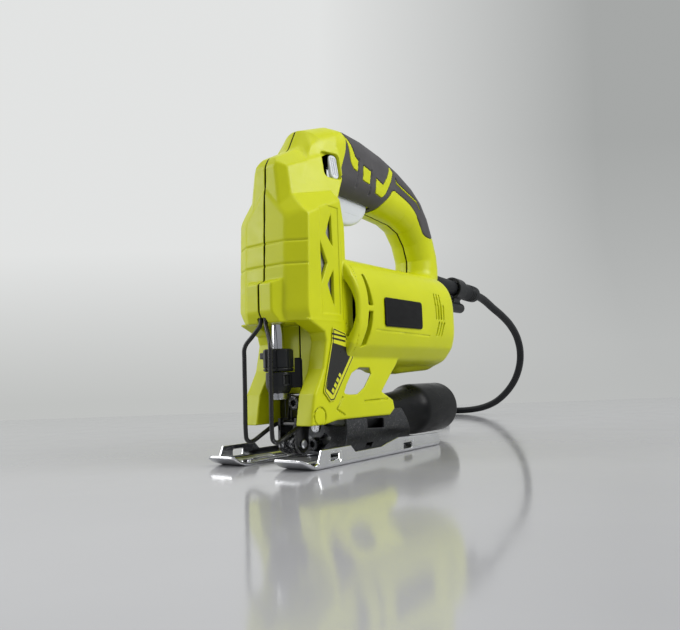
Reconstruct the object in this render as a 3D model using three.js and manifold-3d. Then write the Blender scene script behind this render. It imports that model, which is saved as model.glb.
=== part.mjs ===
// Corded jigsaw with a D-handle, clamshell housing and bevel-tilting shoe.
// Frame: +X is the cutting direction, +Y the tool's left, +Z up. Millimetres.
// Origin: centre of the shoe's sole, on the surface that the tool stands on.
import * as THREE from 'three';
import { mergeVertices } from 'three/addons/utils/BufferGeometryUtils.js';
import Module from 'manifold-3d';

const wasm = await Module();
wasm.setup();

// ---------------------------------------------------------------- driving dimensions
const CLEARANCE = 0.3; // gap between pieces that seat or run on each other
const WALL = 2.6; // moulded housing wall
const FINE = 24; // sides of a large round
const COARSE = 12; // sides of a small round
const BEYOND = 300; // past the part's outside, for cutting tools

// Shoe: pressed sheet with two prongs
const SHOE_WIDTH = 72;
const SHEET = 1.6;
const SOLE_FRONT = 60;
const SOLE_REAR = -80;
const TIP_LENGTH = 8;
const TIP_RISE = 5;
const PRONG_GAP = 27;
const PRONG_ROOT = 6;
const FLANGE_HIGH = 9.8;
const FLANGE_LOW = 6;

// Bevel pivot: axis along X through the saddle
const BEVEL_Z = 17.5;
const SADDLE_RADIUS = 24.3;
const SADDLE_FRONT = 16.5;
const SADDLE_REAR = -45;
const SADDLE_WALL = 2;
const BEVEL_PIN_RADIUS = 3;

// Body
const BODY_HALF = 25.4; // half width of the column and the legs
const SKIRT = 1.2; // thickness of the foot's side skirts
const COLUMN_REAR = 14.1;
const COLUMN_FLOOR = 77;
const WELL_HALF = 14; // half width of the open front well
const WELL_BACK = 27;
const BACK_WALL = 7;

// Motor line, along X
const MOTOR_Z = 84.5;
const BARREL_RADIUS = 33.5;
const BARREL_REAR = -117;
const SHAFT_RADIUS = 3.7;
const CORE_RADIUS = 15;
const CORE_LENGTH = 40;
const CORE_REAR = -58;
const AIR_GAP = 0.5;
const FAN_RADIUS = 26;

// Gear pair and reciprocating drive
const MODULE = 0.75;
const PINION_TEETH = 8;
const GEAR_TEETH = 48;
const STROKE = 18;
const PLUNGER_X = 46;
const PLUNGER_RADIUS = 3.5;
const GEAR_AXLE_RADIUS = 3;

// Grip
const GRIP_THICK = 1.5;
const HANDLE_WALL = 2.4;

// Dust outlet
const OUTLET_RADIUS = 18;
const OUTLET_WALL = 2;
const OUTLET_Z = 22;
const OUTLET_REAR = -136;

// Guide roller and finger guard
const ROLLER_X = 35;
const ROLLER_Z = 10;
const ROLLER_RADIUS = 5.6;
const WIRE_RADIUS = 1.2;
const GUARD_HALF = 9.4;

// Cord
const CORD_RADIUS = 3.5;
const COIL_X = -345;
const COIL_Y = -150;
const COIL_MID_RADIUS = 39;

// ---------------------------------------------------------------- dependent sizes
const GEAR_PITCH = (MODULE * GEAR_TEETH) / 2;
const PINION_PITCH = (MODULE * PINION_TEETH) / 2;
const GEAR_Z = MOTOR_Z + GEAR_PITCH + PINION_PITCH;
const BARREL_BORE = BARREL_RADIUS - WALL;
const SKIRT_INNER = BODY_HALF - SKIRT;
const CORE_FRONT = CORE_REAR + CORE_LENGTH;
const COLUMN_BAY = COLUMN_FLOOR + WALL;

// ---------------------------------------------------------------- materials
const plastic = (color, roughness = 0.45) => new THREE.MeshStandardMaterial({ color, roughness });
const metal = (color, roughness = 0.35) =>
  new THREE.MeshStandardMaterial({ color, roughness, metalness: 1 });
const LIME = plastic(0xc3d62a);
const CHARCOAL = plastic(0x464446, 0.8);
const BLACK = plastic(0x1e2022, 0.5);
const PALE = plastic(0xd5d8dc, 0.4);
const BRIGHT_STEEL = metal(0xc8cacc, 0.2);
const DARK_STEEL = metal(0x55575a, 0.5);
const ALLOY = metal(0xa9abad, 0.5);
const COPPER = metal(0xb87333, 0.4);
const BRONZE = metal(0x9c7a45, 0.5);

// ---------------------------------------------------------------- solids
// A closed three.js geometry as a solid that can be joined and cut.
function solid(geometry) {
  const bare = geometry.clone();
  bare.deleteAttribute('normal');
  bare.deleteAttribute('uv');
  const merged = mergeVertices(bare, 1e-4);
  const vertProperties = Float32Array.from(merged.attributes.position.array);
  const corner = (i) => new THREE.Vector3().fromArray(vertProperties, 3 * i);
  const index = merged.index.array;
  const kept = [];
  let volume = 0;
  for (let i = 0; i < index.length; i += 3) {
    const [a, b, c] = [index[i], index[i + 1], index[i + 2]];
    if (a === b || b === c || c === a) continue;
    kept.push([a, b, c]);
    volume += corner(a).dot(corner(b).cross(corner(c)));
  }
  const outward = volume < 0 ? kept.map(([a, b, c]) => [a, c, b]) : kept;
  const triVerts = Uint32Array.from(outward.flat());
  return new wasm.Manifold(new wasm.Mesh({ numProp: 3, vertProperties, triVerts }));
}

const join = (...solids) => solids.reduce((sum, next) => sum.add(next));
const cut = (body, ...tools) => tools.reduce((rest, tool) => rest.subtract(tool), body);
const both = (make) => join(make(1), make(-1));
// The range of y between two distances from the middle, on the given side.
const spanOf = (side, near, far) => (side > 0 ? [near, far] : [-far, -near]);

function box(x0, x1, y0, y1, z0, z1) {
  const geometry = new THREE.BoxGeometry(x1 - x0, y1 - y0, z1 - z0);
  geometry.translate((x0 + x1) / 2, (y0 + y1) / 2, (z0 + z1) / 2);
  return solid(geometry);
}

function extrusion(points, depth) {
  const shape = new THREE.Shape(points.map(([u, v]) => new THREE.Vector2(u, v)));
  return new THREE.ExtrudeGeometry(shape, { depth, bevelEnabled: false, steps: 1 });
}

// An outline of (x, z) points, pulled along Y.
function prismY(points, y0, y1) {
  return solid(extrusion(points, y1 - y0).rotateX(Math.PI / 2).translate(0, y1, 0));
}

// An outline of (y, z) points, pulled along X.
function prismX(points, x0, x1) {
  const turn = new THREE.Matrix4().set(0, 0, 1, 0, 1, 0, 0, 0, 0, 1, 0, 0, 0, 0, 0, 1);
  return solid(extrusion(points, x1 - x0).applyMatrix4(turn).translate(x0, 0, 0));
}

// An outline of (x, y) points, pulled along Z.
function prismZ(points, z0, z1) {
  return solid(extrusion(points, z1 - z0).translate(0, 0, z0));
}

function rodX(radius, x0, x1, y = 0, z = 0, sides = FINE) {
  const geometry = new THREE.CylinderGeometry(radius, radius, x1 - x0, sides);
  return solid(geometry.rotateZ(-Math.PI / 2).translate((x0 + x1) / 2, y, z));
}

function rodY(radius, y0, y1, x = 0, z = 0, sides = COARSE) {
  const geometry = new THREE.CylinderGeometry(radius, radius, y1 - y0, sides);
  return solid(geometry.translate(x, (y0 + y1) / 2, z));
}

function rodZ(radius, z0, z1, x = 0, y = 0, sides = FINE) {
  const geometry = new THREE.CylinderGeometry(radius, radius, z1 - z0, sides);
  return solid(geometry.rotateX(Math.PI / 2).translate(x, y, (z0 + z1) / 2));
}

// A closed profile of (radius, height) points, turned about Z.
function turned(profile, sides = FINE) {
  const points = profile.map(([r, h]) => new THREE.Vector2(r, h));
  return new THREE.LatheGeometry(points, sides).rotateX(Math.PI / 2);
}

const turnedX = (profile, sides = FINE) => turned(profile, sides).rotateY(Math.PI / 2);

// A closed stack of rings with as many points each, with flat ends.
function loft(rings) {
  const count = rings[0].length;
  const positions = rings.flat(2);
  const index = [];
  for (let r = 0; r + 1 < rings.length; r += 1) {
    for (let i = 0; i < count; i += 1) {
      const [a, b] = [r * count + i, r * count + ((i + 1) % count)];
      index.push(a, b, b + count, a, b + count, a + count);
    }
  }
  const last = (rings.length - 1) * count;
  for (let i = 1; i + 1 < count; i += 1) {
    index.push(0, i + 1, i, last, last + i, last + i + 1);
  }
  const geometry = new THREE.BufferGeometry();
  geometry.setAttribute('position', new THREE.Float32BufferAttribute(positions, 3));
  geometry.setIndex(index);
  return solid(geometry);
}

// Points on an arc, angles in degrees.
function arc(cx, cy, radius, from, to, steps) {
  return Array.from({ length: steps + 1 }, (_, i) => {
    const angle = THREE.MathUtils.degToRad(from + ((to - from) * i) / steps);
    return [cx + radius * Math.cos(angle), cy + radius * Math.sin(angle)];
  });
}

// A band between two radii over a range of angles.
function arcBand(cx, cy, inner, outer, from, to, steps) {
  return [...arc(cx, cy, outer, from, to, steps), ...arc(cx, cy, inner, to, from, steps)];
}

function geometryOf(body) {
  const { vertProperties, triVerts } = body.getMesh();
  const geometry = new THREE.BufferGeometry();
  geometry.setAttribute('position', new THREE.BufferAttribute(vertProperties, 3));
  geometry.setIndex(new THREE.BufferAttribute(triVerts, 1));
  geometry.computeVertexNormals();
  return geometry;
}

const group = new THREE.Group();

// Adds a named piece made of a solid or of a closed geometry.
function piece(name, shape, material, parent = group) {
  const body = shape.isBufferGeometry ? solid(shape) : shape;
  const mesh = new THREE.Mesh(geometryOf(body), material);
  mesh.name = name;
  parent.add(mesh);
  return mesh;
}

// A group whose children are drawn about a point of their own.
function station(x, y, z) {
  const place = new THREE.Group();
  place.position.set(x, y, z);
  group.add(place);
  return place;
}

// ---------------------------------------------------------------- housing outside
// The column: a faceted tower in front of the motor, drawn in by inset on all sides.
function column(inset) {
  const side = BODY_HALF - inset;
  const rear = COLUMN_REAR + inset;
  const ring = (front, facet, shoulder, facetY, low, high) => [
    [front - inset, 0, low],
    [facet - inset, facetY, low],
    [shoulder - inset, side, low],
    [rear, side, high],
    [rear, -side, high],
    [shoulder - inset, -side, low],
    [facet - inset, -facetY, low],
  ];
  const floor = COLUMN_FLOOR + inset;
  const brow = [
    [54 - inset, 0, 146.5],
    [53.6 - inset, 9.3, 146.5],
    [48.7 - inset, 15 - inset, 147.5],
    [rear, 20.5 - inset, 158],
    [rear, -20.5 + inset, 158],
    [48.7 - inset, -15 + inset, 147.5],
    [53.6 - inset, -9.3, 146.5],
  ];
  return loft([
    ring(57, 56.3, 49.6, 14.6, floor, floor),
    ring(54.9, 54.2, 49, 14.6, 134.3, 150),
    brow,
  ]);
}

// The head's side faces: from a narrow front to a wide rear.
const HEAD_FACE = { front: 48.7, narrow: 15, rear: 8, wide: 21.6 };

// The head: a block between the column and the handle, wider towards the handle.
function head(inset) {
  const profile = [
    [54.1 - inset, 144 + inset],
    [53 - inset, 165],
    [49.8 - inset, 170.4 - inset],
    [33.5 - inset, 179.6 - inset],
    [16, 184 - inset],
    [2 + inset, 185 - inset],
    [2 + inset, 160 + inset],
    [12, 157 + inset],
    [COLUMN_REAR + inset, 144 + inset],
  ];
  const plan = [
    [55, 9.3 - inset],
    [HEAD_FACE.front, HEAD_FACE.narrow - inset],
    [HEAD_FACE.rear, HEAD_FACE.wide - inset],
    [-7, HEAD_FACE.wide - inset],
  ];
  const outline = [...plan, ...plan.map(([x, y]) => [x, -y]).reverse()];
  return prismY(profile, -BODY_HALF, BODY_HALF).intersect(prismZ(outline, 140, 190));
}

// Stations of the handle: crest point, palm point and half width.
const HANDLE_STATIONS = [
  { crest: [25.8, 193.2], palm: [33, 176], half: 11 },
  { crest: [8, 200], palm: [8, 160], half: 17 },
  { crest: [-7, 202.6], palm: [-7, 158], half: 16.6 },
  { crest: [-26, 201.6], palm: [-28, 157], half: 16.2 },
  { crest: [-50, 198], palm: [-45, 156], half: 16 },
  { crest: [-72, 192.5], palm: [-62, 154.8], half: 16 },
  { crest: [-91, 185.5], palm: [-76, 153], half: 15.6 },
  { crest: [-105, 177], palm: [-87.9, 149.6], half: 15.4 },
  { crest: [-114.5, 165.5], palm: [-95.5, 141.5], half: 15.4 },
  { crest: [-122, 150], palm: [-99.8, 130], half: 15.8 },
  { crest: [-127, 137], palm: [-100.5, 122], half: 16 },
  { crest: [-128.5, 122], palm: [-98, 112], half: 16 },
];
const HANDLE_SIDES = 12;
const HANDLE_SQUARENESS = 0.8; // exponent of the sections, 1 is an ellipse

function handleRing({ crest, palm, half }, inset) {
  const middle = [(crest[0] + palm[0]) / 2, (crest[1] + palm[1]) / 2];
  const span = Math.hypot(crest[0] - palm[0], crest[1] - palm[1]);
  const up = [(crest[0] - palm[0]) / span, (crest[1] - palm[1]) / span];
  const power = (value) => Math.sign(value) * Math.abs(value) ** HANDLE_SQUARENESS;
  return Array.from({ length: HANDLE_SIDES }, (_, i) => {
    const angle = (2 * Math.PI * (i + 0.5)) / HANDLE_SIDES;
    const rise = (span / 2 - inset) * power(Math.sin(angle));
    const across = (half - inset) * power(Math.cos(angle));
    return [middle[0] + up[0] * rise, across, middle[1] + up[1] * rise];
  });
}

function handle(inset, first = 0, last = HANDLE_STATIONS.length) {
  return loft(HANDLE_STATIONS.slice(first, last).map((stage) => handleRing(stage, inset)));
}

// The motor barrel, with a rounded rear cap.
function barrel() {
  const cap = 16;
  const profile = [
    [0, BARREL_REAR],
    ...arc(BARREL_RADIUS - cap, BARREL_REAR + cap, cap, -90, 0, 5),
    [BARREL_RADIUS, COLUMN_REAR + 0.5],
    [0, COLUMN_REAR + 0.5],
  ];
  return solid(turnedX(profile).translate(0, 0, MOTOR_Z));
}

// The spine behind the D opening, where the handle's foot meets the barrel.
function spine() {
  const profile = [
    [COLUMN_REAR + 1, 105],
    [COLUMN_REAR + 1, 118.5],
    [-98, 117.5],
    [-99, 126],
    [-128.2, 126],
    [-128.2, 115],
    [-122, 104],
    [-112, 92],
    [-60, 100],
  ];
  return prismY(profile, -15.8, 15.8);
}

const FOOT_FLOOR = 22;
const WINDOW = [[9, 51.6], [-11.9, 51.3], [2.8, 36], [18.1, 36.1], [20, 38.4]];

// The lower body: legs in front, a barred foot between skirts behind.
function lowerBody() {
  const legs = [
    [49.6, COLUMN_FLOOR + 1],
    [49.6, COLUMN_FLOOR],
    [36, 71],
    [34.6, 66],
    [35.6, 61],
    [38, 51],
    [43, 42.5],
    [46.2, 37.5],
    [49.4, 21],
    [37.3, 21],
    [25.7, FOOT_FLOOR + 0.6],
    [-28.2, FOOT_FLOOR],
    [-33.9, 25.6],
    [-32.3, 31.3],
    [-20, 36.8],
    [-31.5, 47.5],
    [-38, 53.2],
    [-44, 62],
    [COLUMN_REAR + 1, 66],
    [COLUMN_REAR + 1, COLUMN_FLOOR + 1],
  ];
  const body = prismY(legs, -BODY_HALF, BODY_HALF);
  const well = box(WELL_BACK, 60, -WELL_HALF, WELL_HALF, 10, COLUMN_FLOOR);
  const footBay = box(-60, WELL_BACK - BACK_WALL, -SKIRT_INNER, SKIRT_INNER, 10, 62);
  return cut(body, well, footBay, prismY(WINDOW, -30, 30));
}

// The nose block that carries the finger guard.
function nose() {
  const profile = [[53, 76], [57.3, 76.1], [61, 82], [61, 97.6], [56.6, 99.6], [53, 99.6]];
  const plan = [[52, -12], [57, -12], [62, -8.4], [62, 8.4], [57, 12], [52, 12]];
  return prismY(profile, -14, 14).intersect(prismZ(plan, 70, 105));
}

// ---------------------------------------------------------------- grip
const GRIP_ZONE = [
  [5, 215], [-3, 191], [-0.6, 182.6], [6.7, 166.4], [7.1, 159.7], [4, 150], [-28, 147],
  [-41.6, 158], [-57.8, 172], [-75, 165.8], [-89.7, 157.4], [-99, 148], [-112, 146], [-135, 152],
  [-135, 215],
];
const TRIGGER_SLOT = { front: -2.6, rear: -39.6, half: 8.4 };

// An outline moved outwards by a distance, its corners where the moved edges meet.
function offsetOutline(points, distance) {
  const turn = Math.sign(THREE.ShapeUtils.area(points.map(([u, v]) => new THREE.Vector2(u, v))));
  const edge = (i) => {
    const [a, b] = [points.at(i), points.at((i + 1) % points.length)];
    const length = Math.hypot(b[0] - a[0], b[1] - a[1]);
    return [(turn * (b[1] - a[1])) / length, (turn * (a[0] - b[0])) / length];
  };
  return points.map(([u, v], i) => {
    const [n, m] = [edge(i - 1), edge(i)];
    const scale = distance / (1 + n[0] * m[0] + n[1] * m[1]);
    return [u + scale * (n[0] + m[0]), v + scale * (n[1] + m[1])];
  });
}

const gripZone = (grow) => prismY(offsetOutline(GRIP_ZONE, grow), -30, 30);

const triggerSlot = () =>
  box(TRIGGER_SLOT.rear, TRIGGER_SLOT.front, -TRIGGER_SLOT.half, TRIGGER_SLOT.half, 150, 170);

// ---------------------------------------------------------------- housing
// Screw bosses that cross the seam: place, half width of the housing there.
const BOSSES = [
  { name: 'head', x: 31, z: 171, half: 17.8 },
  { name: 'handle', x: -62, z: 174, half: 12.6 },
  { name: 'spine', x: -112, z: 140, half: 14.6 },
  { name: 'wall', x: 23.5, z: 66, half: 24.9 },
  { name: 'leg', x: 23.5, z: 46, half: 24.9 },
];
const SCREW = { shank: 1.6, head: 3.4, headHigh: 2.6, boss: 4.4, reach: 10 };

function bossesOf(radius) {
  return join(...BOSSES.map(({ x, z }) => rodY(radius, -30, 30, x, z)));
}

// Shank holes right through the right half and blind in the left, with head counterbores.
function screwHoles() {
  const room = SCREW.head + CLEARANCE;
  const holes = BOSSES.map(({ x, z, half }) =>
    join(
      rodY(SCREW.shank + CLEARANCE, -30, SCREW.reach + CLEARANCE, x, z),
      rodY(room, -30, -half + SCREW.headHigh + 1, x, z),
    ),
  );
  return join(...holes);
}

const TRIGGER_PIVOT = { x: -35.4, z: 164.6, pin: 1.5, reach: 9.5 };

// Cooling slots: a crescent beside the column, an arc behind it and louvres at the rear.
function vents(side) {
  const [near, far] = spanOf(side, 20, 40);
  const crescent = [[13, 101], [9.2, 96], [6.8, 85], [8.8, 74], [13.6, 67.4], [12.6, 84]];
  const upper = arcBand(27, 84.6, 27, 31.4, 136, 176, 6);
  const lower = arcBand(27, 84.6, 27, 31.4, 184, 226, 6);
  const louvres = [-92, -87, -82, -77].map((x) =>
    prismY([[x - 2, 73], [x - 0.4, 73], [x + 1.6, 97], [x, 97]], near, far),
  );
  return join(...[crescent, upper, lower].map((outline) => prismY(outline, near, far)), ...louvres);
}

const LOCK_SLOT = { rear: 8, front: 21.5, low: 163.2, high: 179.3 };
const CORD_ENTRY = { z: 119.5, radius: 6.5 };

function housingShell() {
  const handleInset = GRIP_THICK + CLEARANCE + HANDLE_WALL;
  const outside = join(column(0), head(0), handle(0), barrel(), spine(), lowerBody(), nose());
  const underBay = box(16, 40, -40, 40, 30, COLUMN_BAY);
  const sideWalls = both((side) =>
    box(COLUMN_REAR, WELL_BACK + 1, ...spanOf(side, BODY_HALF - WALL, 40), 30, 120));
  const motorBay = join(
    rodX(BARREL_BORE, -94, WELL_BACK, 0, MOTOR_Z).subtract(join(underBay, sideWalls)),
    rodX(9.5 + CLEARANCE, -105, -93, 0, MOTOR_Z),
  );
  const gripBand = gripZone(0).subtract(handle(GRIP_THICK + CLEARANCE));
  const bays = join(column(WALL), head(WALL), handle(handleInset, 1, 11), motorBay);
  const pivotBosses = both((side) => {
    const [low, high] = spanOf(side, TRIGGER_SLOT.half, 15);
    return rodY(4, low, high, TRIGGER_PIVOT.x, TRIGGER_PIVOT.z);
  });
  const inner = join(bossesOf(SCREW.boss), pivotBosses).intersect(join(outside, handle(2.5)));
  const pinRoom = TRIGGER_PIVOT.reach + CLEARANCE;
  return cut(
    join(cut(outside, bays), inner),
    gripBand,
    triggerSlot(),
    screwHoles(),
    rodY(TRIGGER_PIVOT.pin + CLEARANCE, -pinRoom, pinRoom, TRIGGER_PIVOT.x, TRIGGER_PIVOT.z),
    rodZ(PLUNGER_RADIUS + 0.7, 70, 85, PLUNGER_X, 0),
    vents(1),
    vents(-1),
    box(LOCK_SLOT.rear, LOCK_SLOT.front, 10, 30, LOCK_SLOT.low, LOCK_SLOT.high),
    rodX(CORD_ENTRY.radius + CLEARANCE, -140, -108, 0, CORD_ENTRY.z),
    both((side) => rodZ(WIRE_RADIUS + CLEARANCE, 70, 82, 57.6, 1.8 * side, COARSE)),
    bracketPocket(),
  );
}

// Where the base block's tongue and its screw pass the well's back wall.
const TONGUE = { half: 7.5, low: 29.5, high: 35.5 };
const BRACKET_SCREW = { z: 32.5, radius: 2.2, head: 4, high: 3.1 };

function bracketPocket() {
  const gap = CLEARANCE;
  const half = TONGUE.half + gap;
  const pocket = box(10, 25, -half, half, TONGUE.low - gap, TONGUE.high + gap);
  return join(pocket, rodX(BRACKET_SCREW.radius + gap, 10, 30, 0, BRACKET_SCREW.z, COARSE));
}

function makeHousing() {
  const shell = housingShell();
  const seam = CLEARANCE / 2;
  piece('housing_left', shell.intersect(box(-BEYOND, BEYOND, seam, BEYOND, 0, BEYOND)), LIME);
  piece('housing_right', shell.intersect(box(-BEYOND, BEYOND, -BEYOND, -seam, 0, BEYOND)), LIME);
  const sleeve = gripZone(-CLEARANCE)
    .intersect(handle(0))
    .subtract(join(handle(GRIP_THICK), head(-CLEARANCE), triggerSlot()));
  piece('grip_left', sleeve.intersect(box(-BEYOND, BEYOND, seam, BEYOND, 0, BEYOND)), CHARCOAL);
  piece('grip_right', sleeve.intersect(box(-BEYOND, BEYOND, -BEYOND, -seam, 0, BEYOND)), CHARCOAL);
  for (const { name, x, z, half } of BOSSES) {
    const seat = -half + SCREW.headHigh + 1 - CLEARANCE;
    const shank = rodY(SCREW.shank, seat - 1, SCREW.reach, x, z);
    const socket = rodY(1.6, seat - SCREW.headHigh - 1, seat - 1.2, x, z, 6);
    const screw = join(rodY(SCREW.head, seat - SCREW.headHigh, seat, x, z), shank);
    piece(`${name}_screw`, screw.subtract(socket), DARK_STEEL);
  }
}

function makePlates() {
  const label = [
    [29.8, 74], [18, 71.3], [10.5, 57.1], [30, 33.4], [34, 32.8], [39.8, 38.6], [31, 66],
  ];
  const seat = BODY_HALF + CLEARANCE;
  const clearOfBarrel = rodX(BARREL_RADIUS + CLEARANCE, -20, COLUMN_REAR + 1, 0, MOTOR_Z);
  piece('leg_label', prismY(label, seat, seat + 0.5).subtract(clearOfBarrel), BLACK);
  const angle = (z) => THREE.MathUtils.radToDeg(Math.asin((z - MOTOR_Z) / BARREL_RADIUS));
  const skin = BARREL_RADIUS + CLEARANCE;
  const band = arcBand(0, MOTOR_Z, skin, skin + 0.8, angle(75.6), angle(93.4), 6);
  piece('barrel_badge', prismX(band, -58, -13), BLACK);
}

// ---------------------------------------------------------------- trigger and switch
// A slab that lies along the head's left face, between two depths below it.
function faceSlab(x0, x1, z0, z1, outer, inner) {
  const slope = (HEAD_FACE.wide - HEAD_FACE.narrow) / (HEAD_FACE.front - HEAD_FACE.rear);
  const at = (x, depth) => [x, HEAD_FACE.wide - (x - HEAD_FACE.rear) * slope - depth];
  return prismZ([at(x0, inner), at(x1, inner), at(x1, outer), at(x0, outer)], z0, z1);
}

function makeControls() {
  const { x, z, pin, reach } = TRIGGER_PIVOT;
  const blade = TRIGGER_SLOT.half - 3 * CLEARANCE;
  const outline = [
    [-3.3, 162.8], [-4.1, 157.5], [-6.4, 144], [-8.7, 141.3], [-19.6, 142], [-28.5, 145.6],
    [-34, 150], [-37.6, 154.4], [-38.4, 160], [-38.4, 166], [-36, 168], [-31, 168], [-24, 165],
  ];
  const lever = prismY(outline, -blade, blade);
  piece('trigger', lever.subtract(rodY(pin + CLEARANCE, -20, 20, x, z)), PALE);
  piece('trigger_pin', rodY(pin, -reach, reach, x, z), DARK_STEEL);
  const inner = GRIP_THICK + HANDLE_WALL + 2 * CLEARANCE;
  const caseBlock = box(-36, -8, -14, 14, 172, 190).intersect(handle(inner));
  piece('switch_module', caseBlock, BLACK);
  const { rear, low, high } = LOCK_SLOT;
  const under = WALL + CLEARANCE;
  const depth = under + 2.2;
  const knob = faceSlab(rear + 0.4, rear + 7, low + 0.4, high - 0.4, 0.2, depth);
  const carrier = faceSlab(rear - 1, rear + 8.5, low, high + 0.3, under, depth);
  piece('lock_button', join(knob, carrier), PALE);
}

// ---------------------------------------------------------------- motor
const BEARINGS = [
  { name: 'front_bearing', x: 12.4, outer: 11, inner: SHAFT_RADIUS + CLEARANCE, half: 3.5 },
  { name: 'rear_bearing', x: -100.5, outer: 9.5, inner: SHAFT_RADIUS + CLEARANCE, half: 3 },
];

function makeBearings() {
  for (const { name, x, outer, inner, half } of BEARINGS) {
    const step = 0.6;
    const profile = [
      [inner, -half], [inner + 1.6, -half], [inner + 1.6, step - half], [outer, step - half],
      [outer, half], [inner, half], [inner, -half],
    ];
    piece(name, turnedX(profile), BRIGHT_STEEL, station(x, 0, MOTOR_Z));
  }
}

const BACKLASH = 0.8; // share of a full tooth's width that is kept

// A spur wheel's outline: straight-sided teeth, thin enough for backlash.
function toothed(teeth) {
  const pitch = (MODULE * teeth) / 2;
  const [root, tip] = [pitch - 1.3 * MODULE, pitch + 0.85 * MODULE];
  const step = (2 * Math.PI) / teeth;
  const points = [];
  for (let i = 0; i < teeth; i += 1) {
    for (const [radius, turn] of [[root, -0.33], [tip, -0.12], [tip, 0.12], [root, 0.33]]) {
      const angle = (i + turn * BACKLASH) * step;
      points.push([radius * Math.cos(angle), radius * Math.sin(angle)]);
    }
  }
  return points;
}

// An outline turned by an angle and moved to a centre on the middle plane.
const turnedTo = (points, z, turn) =>
  points.map(([u, v]) => [
    u * Math.cos(turn) - v * Math.sin(turn),
    z + u * Math.sin(turn) + v * Math.cos(turn),
  ]);

const SHAFT_SLEEVE = SHAFT_RADIUS + CLEARANCE;
const CORE_SLOTS = 12;
const COMMUTATOR = { rear: -86, front: -74, radius: 10.2, slot: 0.3 };

function makeArmature() {
  const teeth = turnedTo(toothed(PINION_TEETH), MOTOR_Z, Math.PI / 2);
  const shaft = rodX(SHAFT_RADIUS, -103.8, 16.5, 0, MOTOR_Z);
  const neck = rodX(2, 16, 19, 0, MOTOR_Z);
  piece('armature_shaft', join(shaft, neck, prismX(teeth, 18.5, 29)), BRIGHT_STEEL);
  const turn = 360 / CORE_SLOTS;
  const slotted = (radius) => Array.from({ length: CORE_SLOTS }, (_, i) => {
    const [[y, z]] = arc(0, MOTOR_Z, 11, i * turn, i * turn, 1);
    return rodX(radius, CORE_REAR - 1, CORE_FRONT + 1, y, z, 4);
  });
  const core = rodX(CORE_RADIUS, CORE_REAR, CORE_FRONT, 0, MOTOR_Z, FINE + 4);
  const shaftRoom = rodX(SHAFT_SLEEVE, -90, 0, 0, MOTOR_Z);
  piece('armature_core', cut(core, shaftRoom, ...slotted(1.6)), DARK_STEEL);
  const lump = (x0, x1) => {
    const half = (x1 - x0) / 2;
    const profile = [
      [SHAFT_SLEEVE, -half], [10, -half], [12.6, -half / 2], [12.6, half / 2], [10, half],
      [SHAFT_SLEEVE, half], [SHAFT_SLEEVE, -half],
    ];
    return solid(turnedX(profile, COARSE).translate((x0 + x1) / 2, 0, MOTOR_Z));
  };
  const ends = join(
    lump(CORE_FRONT + CLEARANCE, CORE_FRONT + 8),
    lump(CORE_REAR - 10, CORE_REAR - CLEARANCE),
  );
  piece('armature_windings', join(ends, ...slotted(1.2)), COPPER);
  const { rear, front, radius, slot } = COMMUTATOR;
  const gaps = Array.from({ length: CORE_SLOTS }, (_, i) =>
    box(rear - 1, front + 1, -slot, slot, radius - 1.2, radius + 1)
      .rotate([i * turn, 0, 0]).translate([0, 0, MOTOR_Z]));
  const drum = rodX(radius, rear, front, 0, MOTOR_Z);
  piece('commutator', cut(drum, shaftRoom, ...gaps), COPPER);
}

const FAN = { rear: -7, disc: 2, front: 3.5, hub: 7, blades: 11 };

function makeFan() {
  const { rear, disc, front, hub, blades } = FAN;
  const wheel = join(
    rodX(hub, rear, front, 0, MOTOR_Z),
    rodX(FAN_RADIUS, disc, front, 0, MOTOR_Z),
    ...Array.from({ length: blades }, (_, i) =>
      box(rear + 1.5, disc + 0.4, -0.8, 0.8, hub - 1, FAN_RADIUS - 1)
        .rotate([(i * 360) / blades, 0, 0]).translate([0, 0, MOTOR_Z])),
  );
  piece('cooling_fan', wheel.subtract(rodX(SHAFT_SLEEVE, -20, 20, 0, MOTOR_Z)), BLACK);
}

const COIL_BAND = {
  inner: CORE_RADIUS + AIR_GAP + 2.1,
  outer: BARREL_BORE - 5.5,
  from: 34,
  to: 58,
  front: 5,
  rear: 6,
};

function makeStator() {
  const ring = rodX(BARREL_BORE - CLEARANCE, CORE_REAR, CORE_FRONT, 0, MOTOR_Z, FINE + 8);
  const bore = rodX(CORE_RADIUS + AIR_GAP, -80, 0, 0, MOTOR_Z, FINE + 8);
  const { inner, outer, from, to, front, rear } = COIL_BAND;
  const bars = (turn, grow) => {
    const swell = grow * 3;
    const outlines = [[from, to], [-to, -from]].map(([a, b]) =>
      arcBand(0, MOTOR_Z, inner - grow, outer + grow, turn + a - swell, turn + b + swell, 4));
    return join(...outlines.map((outline) => prismX(outline, CORE_REAR - rear, CORE_FRONT + front)));
  };
  const turns = { left: 0, right: 180 };
  const channels = Object.values(turns).map((turn) => bars(turn, CLEARANCE));
  piece('stator_core', cut(ring, bore, ...channels), DARK_STEEL);
  const endSpans = [
    [CORE_FRONT + CLEARANCE, CORE_FRONT + front],
    [CORE_REAR - rear, CORE_REAR - CLEARANCE],
  ];
  for (const [name, turn] of Object.entries(turns)) {
    const outline = arcBand(0, MOTOR_Z, inner, outer, turn - to, turn + to, 8);
    const ends = endSpans.map(([x0, x1]) => prismX(outline, x0, x1));
    piece(`field_coil_${name}`, join(bars(turn, 0), ...ends), COPPER);
  }
}

// A carbon brush: half sizes along X and Z, and where its two ends lie.
const BRUSH = { x: -80, long: 3, high: 4, near: 10.6, far: 22 };
const HOLDER = { near: 13, back: 2, wall: 1.2 };

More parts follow.
